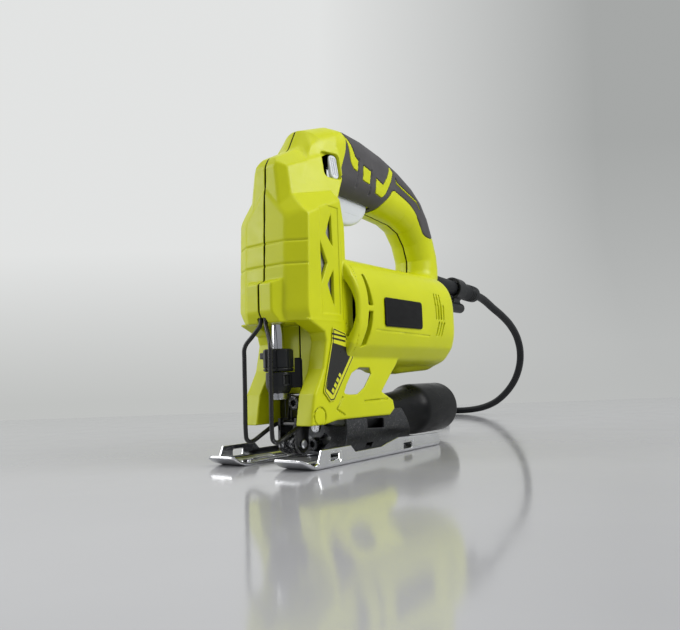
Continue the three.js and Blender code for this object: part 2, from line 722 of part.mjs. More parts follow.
function makeBrushes() {
  const { x, long, high } = BRUSH;
  const end = Math.sqrt((BARREL_BORE - CLEARANCE) ** 2 - (high + CLEARANCE + HOLDER.wall) ** 2);
  const block = (grow, [y0, y1]) =>
    box(x - long - grow, x + long + grow, y0, y1, MOTOR_Z - high - grow, MOTOR_Z + high + grow);
  for (const [name, side] of [['left', 1], ['right', -1]]) {
    piece(`brush_${name}`, block(0, spanOf(side, BRUSH.near, BRUSH.far)), BLACK);
    const sleeve = block(CLEARANCE + HOLDER.wall, spanOf(side, HOLDER.near, end));
    const hollow = block(CLEARANCE, spanOf(side, HOLDER.near - 1, end - HOLDER.back));
    piece(`brush_holder_${name}`, sleeve.subtract(hollow), BRONZE);
  }
}

// ---------------------------------------------------------------- gear case and drive
const CASE = { back: 12, wall: 1.6, top: 134, gearRoom: 1.4 };
const CASE_FLOOR = GEAR_Z - GEAR_PITCH - MODULE;
const CASE_CEILING = GEAR_Z + GEAR_PITCH + 3 * MODULE;
const CASE_INNER = COLUMN_REAR + WALL + CLEARANCE + CASE.wall;
const BUSHES = [
  { name: 'lower_bush', low: COLUMN_BAY + 2 * CLEARANCE, high: CASE_FLOOR + 1 },
  { name: 'upper_bush', low: CASE_CEILING, high: CASE.top },
];
const BUSH_RADIUS = PLUNGER_RADIUS + 1.5;

function makeGearCase() {
  const skin = WALL + CLEARANCE;
  const shape = join(
    column(skin).intersect(box(CASE.back, 60, -30, 30, 70, CASE.top)),
    rodX(BARREL_BORE - CLEARANCE, 8.7, CASE_INNER, 0, MOTOR_Z)
      .intersect(box(0, 30, -21, 21, COLUMN_BAY + CLEARANCE, 103)),
  );
  const gearHalf = GEAR_PITCH + CASE.gearRoom;
  const room = column(skin + CASE.wall)
    .intersect(box(0, 60, -gearHalf, gearHalf, CASE_FLOOR, CASE_CEILING));
  const [front] = BEARINGS;
  piece('gear_case', cut(
    shape,
    room,
    rodX(front.outer + CLEARANCE, 0, 16.2, 0, MOTOR_Z),
    rodX(6, 10, 32, 0, MOTOR_Z),
    rodX(GEAR_AXLE_RADIUS + CLEARANCE, 9.5, 20, 0, GEAR_Z, COARSE),
    rodZ(BUSH_RADIUS + CLEARANCE, 70, 150, PLUNGER_X, 0),
    bossesOf(SCREW.boss + CLEARANCE),
  ), ALLOY);
  const bore = PLUNGER_RADIUS + CLEARANCE;
  for (const { name, low, high } of BUSHES) {
    const profile = [
      [bore, low], [BUSH_RADIUS, low], [BUSH_RADIUS, high], [bore, high], [bore, low],
    ];
    piece(name, turned(profile), BRONZE, station(PLUNGER_X, 0, 0));
  }
}

const CLAMP_TOP = 50.2; // where the rod's foot meets the blade socket
const YOKE = { rear: 37.6, front: 44, half: 15, high: 7.5, slot: 3.4 };
const GEAR_FACE = { rear: 20.5, front: 27.5, hub: 6.5 };

function makeDrive() {
  const turn = Math.PI / GEAR_TEETH - Math.PI / 2;
  const teeth = turnedTo(toothed(GEAR_TEETH), GEAR_Z, turn);
  const wheel = prismX(teeth, GEAR_FACE.rear, GEAR_FACE.front);
  const hub = rodX(GEAR_FACE.hub, CASE_INNER + CLEARANCE, GEAR_FACE.front + 2, 0, GEAR_Z);
  const crank = rodX(3, GEAR_FACE.front - 1, YOKE.rear - 0.5, STROKE / 2, GEAR_Z);
  const web = rodX(GEAR_PITCH - 3, GEAR_FACE.rear - 1, GEAR_FACE.rear + 1.6, 0, GEAR_Z, COARSE)
    .subtract(rodX(GEAR_FACE.hub + 1, 0, 40, 0, GEAR_Z, COARSE));
  const bore = rodX(GEAR_AXLE_RADIUS + CLEARANCE, 0, 40, 0, GEAR_Z);
  piece('drive_gear', join(wheel.subtract(web), hub, crank).subtract(bore), DARK_STEEL);
  piece('gear_axle', rodX(GEAR_AXLE_RADIUS, 9.8, 30.5, 0, GEAR_Z), BRIGHT_STEEL);
  piece('plunger_rod', rodZ(PLUNGER_RADIUS, CLAMP_TOP, 146, PLUNGER_X, 0), BRIGHT_STEEL);
  const { rear, front, half, high, slot } = YOKE;
  const frame = box(rear, front, -half, half, GEAR_Z - high, GEAR_Z + high);
  const slotHalf = STROKE / 2 + slot;
  const groove = box(rear - 1, rear + 3, -slotHalf, slotHalf, GEAR_Z - slot, GEAR_Z + slot);
  const boss = rodZ(PLUNGER_RADIUS + 2.6, GEAR_Z - high, GEAR_Z + high, PLUNGER_X, 0)
    .intersect(box(0, PLUNGER_X + 2.6, -20, 20, 0, 200));
  const rodRoom = rodZ(PLUNGER_RADIUS + CLEARANCE, 60, 150, PLUNGER_X, 0);
  piece('scotch_yoke', cut(join(frame, boss), groove, rodRoom), ALLOY);
}

// ---------------------------------------------------------------- blade clamp
const CLAMP = { head: 8.5, low: 50.3, high: 62.7, collar: 7.3, collarLow: 38, tip: 4.9 };
const CLAMP_SIDES = 20;

function makeClamp() {
  const { head: wide, low, high, collar, collarLow, tip } = CLAMP;
  const core = PLUNGER_RADIUS + CLEARANCE;
  const headProfile = [
    [core, low], [wide - 0.9, low], [wide, low + 0.9], [wide, high - 0.8], [wide - 0.8, high],
    [core, high], [core, low],
  ];
  const cap = solid(turned(headProfile, CLAMP_SIDES).translate(PLUNGER_X, 0, 0));
  const peg = box(PLUNGER_X - 2, PLUNGER_X + 3, -11.6, 0.9 - wide, 57.4, 61.2);
  piece('clamp_head', join(cap, peg), BLACK);
  const ringBore = tip + CLEARANCE;
  const collarProfile = [
    [ringBore, collarLow], [collar - 0.8, collarLow], [collar, collarLow + 1.2],
    [collar, low - CLEARANCE], [ringBore, low - CLEARANCE], [ringBore, collarLow],
  ];
  const ring = solid(turned(collarProfile, CLAMP_SIDES).translate(PLUNGER_X, 0, 0));
  const lever = box(collar - 1.1, 13, -1.2, 1.2, 41, 58).rotate([0, 0, 135]);
  const headRoom = rodZ(wide + CLEARANCE, low - CLEARANCE, high + 1, PLUNGER_X, 0);
  const arm = lever.translate([PLUNGER_X, 0, 0]).subtract(headRoom);
  piece('clamp_collar', join(ring, arm), BLACK);
  const top = CLAMP_TOP - CLEARANCE;
  const tipProfile = [[0, 35], [tip - 0.5, 35], [tip, 36], [tip, top], [0, top]];
  const bladeSlot = box(-3.8, 3.8, -0.7, 0.7, 34, 47);
  const socket = cut(solid(turned(tipProfile, CLAMP_SIDES)), bladeSlot);
  piece('clamp_tip', socket, BRIGHT_STEEL, station(PLUNGER_X, 0, 0));
}

// ---------------------------------------------------------------- roller, guard, base
const BRACKET_FRONT = 31;
const AXLE_RADIUS = 1.5;
const GUARD_BAR = { x: 37.6, z: 21.3 };

function makeRoller() {
  const rear = WELL_BACK + CLEARANCE;
  const outline = [
    [rear, 23], [rear, 38], [BRACKET_FRONT, 38], [33.5, 24], [40, 24.5], [40.2, 10],
    ...arc(ROLLER_X, ROLLER_Z, 5, -10, -170, 6), [29.6, 16],
  ];
  const cheeks = both((side) => prismY(outline, ...spanOf(side, 5, 7)));
  piece('roller_bracket', cut(
    join(box(rear, BRACKET_FRONT, -13, 13, 23, 38), cheeks),
    rodY(AXLE_RADIUS + CLEARANCE, -20, 20, ROLLER_X, ROLLER_Z),
    rodY(WIRE_RADIUS + CLEARANCE, -20, 20, GUARD_BAR.x, GUARD_BAR.z),
    rodX(BRACKET_SCREW.radius + CLEARANCE, 20, 40, 0, BRACKET_SCREW.z),
  ), BLACK);
  const rivets = both((side) => rodY(2.4, ...spanOf(side, 7.3, 8.3), ROLLER_X, ROLLER_Z));
  const axle = rodY(AXLE_RADIUS, -7.6, 7.6, ROLLER_X, ROLLER_Z);
  piece('roller_axle', join(axle, rivets), DARK_STEEL);
  const [bore, half, groove] = [AXLE_RADIUS + CLEARANCE, 4.6, 3.9];
  const profile = [
    [bore, -half], [ROLLER_RADIUS, -half], [ROLLER_RADIUS, -2.2], [groove, -1.2], [groove, 1.2],
    [ROLLER_RADIUS, 2.2], [ROLLER_RADIUS, half], [bore, half], [bore, -half],
  ];
  const roller = turned(profile, 20).rotateX(Math.PI / 2);
  piece('guide_roller', roller, DARK_STEEL, station(ROLLER_X, 0, ROLLER_Z));
  const { z, radius, head: wide, high } = BRACKET_SCREW;
  const seat = BRACKET_FRONT + CLEARANCE;
  const screw = join(rodX(wide, seat, seat + high, 0, z), rodX(radius, 13.6, seat + 1, 0, z, COARSE));
  piece('bracket_screw', screw.subtract(rodX(2, seat + 1.5, 36, 0, z, 6)), DARK_STEEL);
}

// The finger guard: one bent wire with both ends hooked up into the nose.
function makeGuard() {
  const out = GUARD_HALF;
  const half = [
    [57.6, 1.8, 81], [57.6, 1.8, 77], [57.9, 2.2, 75.2], [60.2, 5.8, 69.6], [62.2, 8.6, 65.4],
    [62.9, out, 62.6], [63, out, 58], [63, out, 40], [63, out, 18], [62.4, out, 14.8],
    [60.2, out, 13.3], [57.6, out, 13.4], [48, out + 0.2, 17.3], [40.4, out + 0.2, 20.5],
    [38.2, out - 0.6, 21.2], [GUARD_BAR.x, out - 2, GUARD_BAR.z], [GUARD_BAR.x, 5, GUARD_BAR.z],
  ];
  const mirrored = half.map(([x, y, z]) => [x, -y, z]).reverse();
  piece('finger_guard', tubeAlong([...half, ...mirrored], WIRE_RADIUS, 6, 52), BLACK);
}

// A tube of a number of sides along a smooth path through points.
function tubeAlong(points, radius, sides, steps) {
  const knots = points.map(([x, y, z]) => new THREE.Vector3(x, y, z));
  const extrudePath = new THREE.CatmullRomCurve3(knots, false, 'centripetal');
  const ring = arc(0, 0, radius, 0, 360 - 360 / sides, sides - 1);
  const section = new THREE.Shape(ring.map(([u, v]) => new THREE.Vector2(u, v)));
  return solid(new THREE.ExtrudeGeometry(section, { steps, bevelEnabled: false, extrudePath }));
}

// A trough about the bevel axis with a flat floor, as an outline of (y, z) points.
function troughOutline(outer, inner, low, floor, lift) {
  const dip = (radius, z) => THREE.MathUtils.radToDeg(Math.asin((z - BEVEL_Z) / radius));
  const mirror = (points) => points.map(([y, z]) => [-y, z]).reverse();
  const outside = arc(0, BEVEL_Z, outer, dip(outer, low), lift, 7);
  const inside = arc(0, BEVEL_Z, inner, lift, dip(inner, floor), 7);
  return [...outside, ...inside, ...mirror(inside), ...mirror(outside)];
}

const SADDLE_LOW = SHEET + CLEARANCE;
const SADDLE_FLOOR = SADDLE_LOW + SADDLE_WALL;
const SADDLE_INNER = SADDLE_RADIUS - SADDLE_WALL;
const SADDLE_TAIL = -55.6;
const END_WALL = { front: 12, rear: -44, thick: 2.3, boss: 6.4 };
const BEVEL_SCREW = { radius: 2.2, head: 3.8, high: 3.6, slot: 9.5, room: 2.6 };

function makeSaddle() {
  const outline = troughOutline(SADDLE_RADIUS, SADDLE_INNER, SADDLE_LOW, SADDLE_FLOOR, 20);
  const side = [
    [SADDLE_FRONT, 0], [SADDLE_FRONT, 40], [SADDLE_REAR, 40], [SADDLE_REAR, 26],
    [SADDLE_TAIL, 9], [SADDLE_TAIL, 0],
  ];
  const trough = prismX(outline, SADDLE_TAIL, SADDLE_FRONT).intersect(prismY(side, -30, 30));
  const end = (x) => {
    const lower = box(x, x + END_WALL.thick, -40, 40, SADDLE_LOW + 0.5, BEVEL_Z + 1);
    const disc = rodX(SADDLE_INNER + 0.5, x, x + END_WALL.thick, 0, BEVEL_Z);
    return join(disc.intersect(lower), rodX(END_WALL.boss, x, x + END_WALL.thick, 0, BEVEL_Z));
  };
  const { slot, room } = BEVEL_SCREW;
  const screwSlot = arcBand(0, BEVEL_Z, slot - room, slot + room, -152, -28, 8);
  const sideWindow = prismY([[-4, 16], [-22, 15], [-22, 20.6], [-4, 21.6]], -30, 30);
  const lowSlots = both((sign) => box(-13, -6, ...spanOf(sign, 21, 30), 4.2, 7.2));
  piece('saddle', cut(
    join(trough, end(END_WALL.front), end(END_WALL.rear)),
    rodX(BEVEL_PIN_RADIUS + CLEARANCE, -60, 30, 0, BEVEL_Z),
    prismX(screwSlot, 8, 20),
    sideWindow,
    lowSlots,
  ), DARK_STEEL);
}

const BASE = { cam: 13.1, high: 34, wall: 8, shoulder: 6 };

function makeBaseBlock() {
  const rear = END_WALL.rear + END_WALL.thick + CLEARANCE;
  const front = END_WALL.front - CLEARANCE;
  const wide = SADDLE_INNER - CLEARANCE;
  const shoulder = BEVEL_Z + BASE.shoulder;
  const flank = [
    [-wide, BASE.high], [wide, BASE.high], [wide, shoulder],
    ...arc(0, BEVEL_Z, BASE.cam, -45, -135, 6), [-wide, shoulder],
  ];
  const { half, low, high } = TONGUE;
  const body = join(
    rodX(BASE.cam, rear, front, 0, BEVEL_Z),
    prismX(flank, rear, front).intersect(rodX(wide, rear, front, 0, BEVEL_Z)),
    box(front - BASE.wall, 24.6, -half, half, low, high),
  );
  const screwAxis = BEVEL_Z - BEVEL_SCREW.slot;
  piece('base_block', cut(
    body,
    box(rear + BASE.wall, front - BASE.wall, -11, 11, BEVEL_Z - 9, 60),
    rodX(BEVEL_PIN_RADIUS + CLEARANCE, -60, 30, 0, BEVEL_Z),
    rodX(BEVEL_SCREW.radius + CLEARANCE, -5, 20, 0, screwAxis, COARSE),
    rodX(BRACKET_SCREW.radius + CLEARANCE, 13.2, 40, 0, BRACKET_SCREW.z, COARSE),
  ), ALLOY);
  for (const [name, x0, x1] of [['front_bevel_pin', 4, 15], ['rear_bevel_pin', -46, -34]]) {
    piece(name, rodX(BEVEL_PIN_RADIUS, x0, x1, 0, BEVEL_Z, COARSE), BRIGHT_STEEL);
  }
  const seat = END_WALL.front + END_WALL.thick + CLEARANCE;
  const screw = join(
    rodX(BEVEL_SCREW.radius, 0, seat + 1, 0, screwAxis, COARSE),
    rodX(BEVEL_SCREW.head, seat, seat + BEVEL_SCREW.high, 0, screwAxis, COARSE),
  );
  piece('bevel_screw', screw.subtract(rodX(2, seat + 1.4, 40, 0, screwAxis, 6)), DARK_STEEL);
}

const SHOE_CORNER = 12;

function makeShoe() {
  const half = SHOE_WIDTH / 2;
  const gap = PRONG_GAP / 2;
  const bend = SOLE_REAR + SHOE_CORNER;
  const rearCorner = (side, radius, from, to) =>
    arc(bend, side * (half - SHOE_CORNER), radius, from, to, 5);
  const rear = [
    ...rearCorner(1, SHOE_CORNER, 90, 180),
    ...rearCorner(-1, SHOE_CORNER, 180, 270),
  ];
  const inside = SHOE_CORNER - SHEET;
  const rearInside = [...rearCorner(-1, inside, 270, 180), ...rearCorner(1, inside, 180, 90)];
  const root = arc(0, 0, 1, 270, 90, 6).map(([u, v]) => [PRONG_ROOT + gap * (1 + u) * 0.5, gap * v]);
  const plan = [
    [SOLE_FRONT, half], ...rear, [SOLE_FRONT, -half], [SOLE_FRONT, -gap], ...root,
    [SOLE_FRONT, gap],
  ];
  const tip = SOLE_FRONT + TIP_LENGTH;
  const ski = [
    [SOLE_FRONT - 1, 0], [SOLE_FRONT, 0], [tip, TIP_RISE], [tip, TIP_RISE + SHEET],
    [SOLE_FRONT - 1, SHEET],
  ];
  const flange = [
    [58.5, 0], [56, FLANGE_HIGH], [30, FLANGE_HIGH], [26, FLANGE_LOW], [0, FLANGE_LOW], [-6, 7.3],
    [-19, 9.6], [bend, 8.2], [bend, 0],
  ];
  const fenceSlots = [[40, 48, 3.6, 7.1], [-35, -25, 2.2, 5.6]];
  piece('shoe', cut(
    join(
      prismZ(plan, 0, SHEET),
      both((side) => prismY(ski, ...spanOf(side, gap, half))),
      both((side) => prismY(flange, ...spanOf(side, half - SHEET, half))),
      prismZ([...rear, ...rearInside], 0, 5),
    ),
    ...fenceSlots.map(([x0, x1, z0, z1]) => box(x0, x1, -SHOE_WIDTH, SHOE_WIDTH, z0, z1)),
  ), BRIGHT_STEEL);
}

function makeOutlet() {
  const r = OUTLET_RADIUS;
  const front = END_WALL.rear - CLEARANCE;
  const throat = 12;
  const lead = -92;
  const profile = [
    [throat, front], [r, lead], [r, OUTLET_REAR + 2], [r - 1, OUTLET_REAR],
    [r - OUTLET_WALL, OUTLET_REAR], [r - OUTLET_WALL, lead - 1], [throat - OUTLET_WALL, front],
    [throat, front],
  ];
  piece('dust_outlet', turnedX(profile), BLACK, station(0, 0, OUTLET_Z));
}

// ---------------------------------------------------------------- cord
const CORD_POINTS = [
  [-217.8, 0, 115.4], [-231, -0.3, 114.2], [-244, -0.8, 111.6], [-259, -1, 107],
  [-278, -0.3, 100.8], [-297.5, 0, 92.8], [-315.5, -0.8, 81.8], [-331, -4, 68],
  [-345, -11, 53], [-357.5, -22, 38], [-368.5, -37, 24.5], [-378, -54, 14.2],
  [-385, -72, 8], [-389.3, -90, 5], [-390.8, -107, 4], [-391, -123.6, 3.9],
];
const CORD_GUARD = { front: -111, rear: -217.2, bend: -128, tilt: 2.6 };
const KEY = { z: 101.4, half: 2, rear: -186, front: -140, drop: 18 };
const HOLDER_SPAN = [-185, -172];

// The cord guard leans down behind the handle; the key holder hangs from it.
function makeCordGuard() {
  const { front, rear, bend, tilt } = CORD_GUARD;
  const profile = [
    [0, rear], [6.2, rear], [7.2, rear + 12], [6.4, -190], [6.1, -140], [5.9, front], [0, front],
  ];
  const sleeve = solid(turnedX(profile)).translate([-bend, 0, 0]).rotate([0, -tilt, 0]);
  piece('cord_guard', sleeve.translate([bend, 0, CORD_ENTRY.z]), BLACK);
  const middle = (HOLDER_SPAN[0] + HOLDER_SPAN[1]) / 2;
  const droop = CORD_ENTRY.z + Math.tan(THREE.MathUtils.degToRad(tilt)) * (middle - bend);
  const keyRoom = rodX(KEY.half + CLEARANCE, KEY.rear - 1, KEY.front + 1, 0, KEY.z, COARSE);
  piece('key_holder', cut(
    join(
      rodX(9, ...HOLDER_SPAN, 0, droop).subtract(rodX(6.9, -190, -170, 0, droop)),
      box(...HOLDER_SPAN, -2, 2, KEY.z + 2, 109.4),
      rodX(4.2, -190, -146, 0, KEY.z, COARSE),
    ),
    keyRoom,
  ), BLACK);
  const arm = rodZ(KEY.half, KEY.z - KEY.drop, KEY.z, KEY.front, 0, 6);
  piece('hex_key', join(rodX(KEY.half, KEY.rear, KEY.front, 0, KEY.z, 6), arm), DARK_STEEL);
}

// The rest of the cord: five turns of it in a ring, and the plug on top of the ring.
function makeCoil() {
  const low = 0.2;
  const inner = COIL_MID_RADIUS - 3 * CORD_RADIUS;
  const outer = COIL_MID_RADIUS + 3 * CORD_RADIUS;
  const high = low + 4 * CORD_RADIUS;
  const profile = [[inner, low], [outer, low], [outer, high], [inner, high], [inner, low]];
  piece('cord_coil', turned(profile), BLACK, station(COIL_X, COIL_Y, 0));
  const plug = station(COIL_X, COIL_Y - inner - CORD_RADIUS, high + CLEARANCE);
  const axis = 6;
  const neck = rodX(4.6, 0, 10, 0, axis, COARSE);
  piece('plug_body', join(box(9, 40, -8, 8, 0, 2 * axis), neck), BLACK, plug);
  for (const [name, y] of [['left', 5], ['right', -5]]) {
    piece(`plug_pin_${name}`, rodX(2, 40 + CLEARANCE, 59, y, axis, COARSE), BRIGHT_STEEL, plug);
  }
}

makeHousing();
makePlates();
makeControls();
makeBearings();
makeArmature();
makeFan();
makeStator();
makeBrushes();
makeGearCase();
makeDrive();
makeClamp();
makeRoller();
makeGuard();
makeSaddle();
makeBaseBlock();
makeShoe();
makeOutlet();
makeCordGuard();
makeCoil();
piece('cord', tubeAlong(CORD_POINTS, CORD_RADIUS, 8, 20), BLACK);

export default group;
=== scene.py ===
"""A corded jigsaw: moulded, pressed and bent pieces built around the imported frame."""

import logging
import math
from concurrent.futures import ThreadPoolExecutor
from dataclasses import dataclass, field
from enum import Enum
from typing import Callable, Iterable, Sequence

import bmesh
import bpy
import numpy as np
from mathutils import Matrix, Vector


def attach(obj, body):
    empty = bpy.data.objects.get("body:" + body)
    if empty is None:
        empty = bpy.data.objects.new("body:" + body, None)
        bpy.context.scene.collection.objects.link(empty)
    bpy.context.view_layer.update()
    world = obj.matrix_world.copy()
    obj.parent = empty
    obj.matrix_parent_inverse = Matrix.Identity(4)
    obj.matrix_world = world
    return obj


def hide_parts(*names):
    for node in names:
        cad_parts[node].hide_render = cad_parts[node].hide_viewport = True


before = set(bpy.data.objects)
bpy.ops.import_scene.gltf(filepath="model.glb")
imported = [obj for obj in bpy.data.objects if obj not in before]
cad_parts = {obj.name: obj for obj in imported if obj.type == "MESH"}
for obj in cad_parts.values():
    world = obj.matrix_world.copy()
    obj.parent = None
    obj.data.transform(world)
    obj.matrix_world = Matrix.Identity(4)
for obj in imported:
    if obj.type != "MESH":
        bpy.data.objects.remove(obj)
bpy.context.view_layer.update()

Array = np.ndarray
Field = Callable[["Points"], Array]
Outline = Sequence[tuple[float, float]]
LOG = logging.getLogger("jigsaw")
MM = 0.001
WORKERS = 4
SEAM = 0.4  # each half stops this far from the middle plane, in mm


# ------------------------------------------------------------------ distance fields
class Points:
    """Places in the frame, in millimetres, as one array for each axis."""

    def __init__(self, x: Array, y: Array, z: Array) -> None:
        """Keeps the three arrays."""
        self.x, self.y, self.z = x, y, z
        self.a = np.abs(y)

    @classmethod
    def of(cls, rows: Array) -> "Points":
        """Points from an array with one row for each point."""
        return cls(rows[:, 0], rows[:, 1], rows[:, 2])

    def pick(self, mask: Array) -> "Points":
        """The points where the mask is true."""
        return Points(self.x[mask], self.y[mask], self.z[mask])

    def within(self, low: Sequence[float], high: Sequence[float]) -> Array:
        """Where the points lie in a box whose y counts from the middle plane."""
        return (
            (self.x > low[0]) & (self.x < high[0])
            & (self.a > low[1]) & (self.a < high[1])
            & (self.z > low[2]) & (self.z < high[2])
        )


def soft_max(a: Array, b: Array, r: float) -> Array:
    """The larger of two fields, rounded off over r where they are near each other."""
    if r <= 0:
        return np.maximum(a, b)
    h = np.maximum(r - np.abs(a - b), 0) / r
    return np.maximum(a, b) + h * h * (r * 0.25)


def soft_min(a: Array, b: Array, r: float) -> Array:
    """The smaller of two fields, with a fillet over r where they are near each other."""
    return -soft_max(-a, -b, r)


def round_max(a: Array, b: Array, r: Array | float) -> Array:
    """Two fields met in an edge with a true radius r."""
    u, v = a + r, b + r
    return np.hypot(np.maximum(u, 0), np.maximum(v, 0)) + np.minimum(np.maximum(u, v), 0) - r


def polygon(u: Array, v: Array, corners: Outline) -> Array:
    """Signed distance to a polygon: to the nearest edge, below zero inside by the even-odd rule."""
    pts = np.asarray(corners, np.float32)
    best = np.full(u.shape, 1e9, np.float32)
    inside = np.zeros(u.shape, bool)
    for (ax, ay), (bx, by) in zip(pts, np.roll(pts, -1, axis=0)):
        ex, ey = bx - ax, by - ay
        wx, wy = u - ax, v - ay
        t = np.clip((wx * ex + wy * ey) / (ex * ex + ey * ey), 0, 1)
        best = np.minimum(best, (wx - ex * t) ** 2 + (wy - ey * t) ** 2)
        if ey:
            inside ^= ((v >= ay) != (v >= by)) & (wx < ex * wy / ey)
    return np.where(inside, -1, 1) * np.sqrt(best)


def rounded(corners: Outline, rounds: int = 1) -> list[tuple[float, float]]:
    """A closed outline with each corner cut at a quarter of its edges, as many times as asked."""
    pts = np.asarray(corners, float)
    for _ in range(rounds):
        nxt = np.roll(pts, -1, axis=0)
        pts = np.stack([0.75 * pts + 0.25 * nxt, 0.25 * pts + 0.75 * nxt], 1).reshape(-1, 2)
    return [tuple(p) for p in pts]


def segment(u: Array, v: Array, a: tuple[float, float], b: tuple[float, float]) -> Array:
    """Distance to the straight line between two points."""
    ex, ey = b[0] - a[0], b[1] - a[1]
    t = np.clip(((u - a[0]) * ex + (v - a[1]) * ey) / (ex * ex + ey * ey), 0, 1)
    return np.hypot(u - a[0] - ex * t, v - a[1] - ey * t)


class Hull:
    """A convex block: the space behind planes through three points each, y from the middle."""

    def __init__(self, middle: Sequence[float], faces: Iterable[Sequence[Sequence[float]]]) -> None:
        """Turns each face's three points into an outward plane."""
        self.planes = []
        inner = np.asarray(middle, float)
        for a, b, c in faces:
            a, b, c = (np.asarray(p, float) for p in (a, b, c))
            n = np.cross(b - a, c - a)
            n /= np.linalg.norm(n)
            if n @ (inner - a) > 0:
                n = -n
            self.planes.append((*n.astype(np.float32), np.float32(n @ a)))

    def at(self, q: Points, r: float) -> Array:
        """The field of the block, its edges rounded over r."""
        d = None
        for nx, ny, nz, k in self.planes:
            e = nx * q.x + ny * q.a + nz * q.z - k
            d = e if d is None else soft_max(d, e, r)
        return d


def carve(d: Array, q: Points, low: Sequence[float], high: Sequence[float], shape: Field,
          r: float = 0.3) -> None:
    """Takes a shape out of a field in place, where the points lie in a box round the shape.

    Args:
        d: the field's values, changed in place.
        q: the points that they belong to.
        low: the box's low corner.
        high: the box's high corner.
        shape: the field of what is taken out.
        r: the rounding of the edge that this leaves.
    """
    near = q.within(low, high)
    if near.any():
        d[near] = soft_max(d[near], -shape(q.pick(near)), r)


def evaluate(shape: Field, rows: Array) -> Array:
    """A field at many points, in parallel slices."""
    parts = np.array_split(rows, max(1, min(64, len(rows) // 20000)))
    with ThreadPoolExecutor(WORKERS) as pool:
        return np.concatenate(list(pool.map(lambda p: shape(Points.of(p)), parts)))


def slope(shape: Field, rows: Array, step: float = 0.06) -> tuple[Array, Array]:
    """The value and gradient of a field, from four points in a tetrahedron round each place."""
    corners = np.array([[1, 1, 1], [1, -1, -1], [-1, 1, -1], [-1, -1, 1]], np.float32)
    values = [evaluate(shape, rows + step * c) for c in corners]
    gradient = sum(v[:, None] * c for v, c in zip(values, corners)) / (4 * step)
    return sum(values) / 4, gradient


BLOCK = 8


def sample(shape: Field, low: Array, count: Array, pitch: float) -> Array:
    """The field on a grid, worked out only in blocks that the surface may pass."""
    blocks = -(-count // BLOCK)
    grid = [low[k] + pitch * (BLOCK * np.arange(blocks[k]) + (BLOCK - 1) / 2) for k in range(3)]
    middles = np.stack(np.meshgrid(*grid, indexing="ij"), -1).reshape(-1, 3).astype(np.float32)
    rough = evaluate(shape, middles).reshape(blocks)
    reach = BLOCK * pitch * 0.5 * math.sqrt(3) * 1.25 + 0.8
    dense = np.repeat(np.repeat(np.repeat(np.sign(rough), BLOCK, 0), BLOCK, 1), BLOCK, 2)
    dense = dense.astype(np.float32)
    view = dense.reshape(blocks[0], BLOCK, blocks[1], BLOCK, blocks[2], BLOCK)
    view = view.transpose(0, 2, 4, 1, 3, 5)
    live = np.abs(rough) < reach
    steps = np.stack(np.meshgrid(*[np.arange(BLOCK)] * 3, indexing="ij"), -1).reshape(-1, 3)
    starts = np.argwhere(live) * BLOCK
    rows = low + pitch * (starts[:, None, :] + steps[None]).reshape(-1, 3)
    view[live] = evaluate(shape, rows.astype(np.float32)).reshape(-1, BLOCK, BLOCK, BLOCK)
    return dense


def net(values: Array, low: Array, pitch: float) -> tuple[Array, Array]:
    """A closed net of quads round the space where a grid of values is below zero.

    Each cell that the surface passes gets one vertex, at the mean of the points where its edges
    cross zero. Each grid edge that crosses gets a quad between the four cells round it.

    Returns:
        The vertices and the quads.
    """
    inner = values < 0
    n = np.array(values.shape) - 1
    total = np.zeros(n, np.uint8)
    corners = [(i, j, k) for i in (0, 1) for j in (0, 1) for k in (0, 1)]
    for i, j, k in corners:
        total += inner[i:i + n[0], j:j + n[1], k:k + n[2]]
    cells = np.argwhere((total > 0) & (total < 8))
    number = np.full(n, -1, np.int64)
    number[tuple(cells.T)] = np.arange(len(cells))
    place = np.zeros((len(cells), 3))
    hits = np.zeros(len(cells))
    for axis in range(3):
        step = np.eye(3, dtype=int)[axis]
        for corner in corners:
            if corner[axis]:
                continue
            a = cells + corner
            va = values[tuple(a.T)]
            vb = values[tuple((a + step).T)]
            cross = (va < 0) != (vb < 0)
            t = va[cross] / (va[cross] - vb[cross])
            place[cross] += a[cross] + t[:, None] * step
            hits[cross] += 1
    quads = []
    for axis in range(3):
        u, v = (np.eye(3, dtype=int)[(axis + k) % 3] for k in (1, 2))
        a = [slice(1, None)] * 3
        b = [slice(1, None)] * 3
        a[axis], b[axis] = slice(0, -1), slice(1, None)
        cross = inner[tuple(a)] != inner[tuple(b)]
        at = np.argwhere(cross) + 1
        at[:, axis] -= 1
        at = at[(at < n).all(1)]
        ring = [number[tuple((at - du * u - dv * v).T)] for du, dv in ((0, 0), (1, 0), (1, 1), (0, 1))]
        quad = np.stack(ring, 1)
        turned = inner[tuple(at.T)]
        quads.append(np.where(turned[:, None], quad, quad[:, ::-1]))
    return low + pitch * (place / hits[:, None]), np.concatenate(quads)


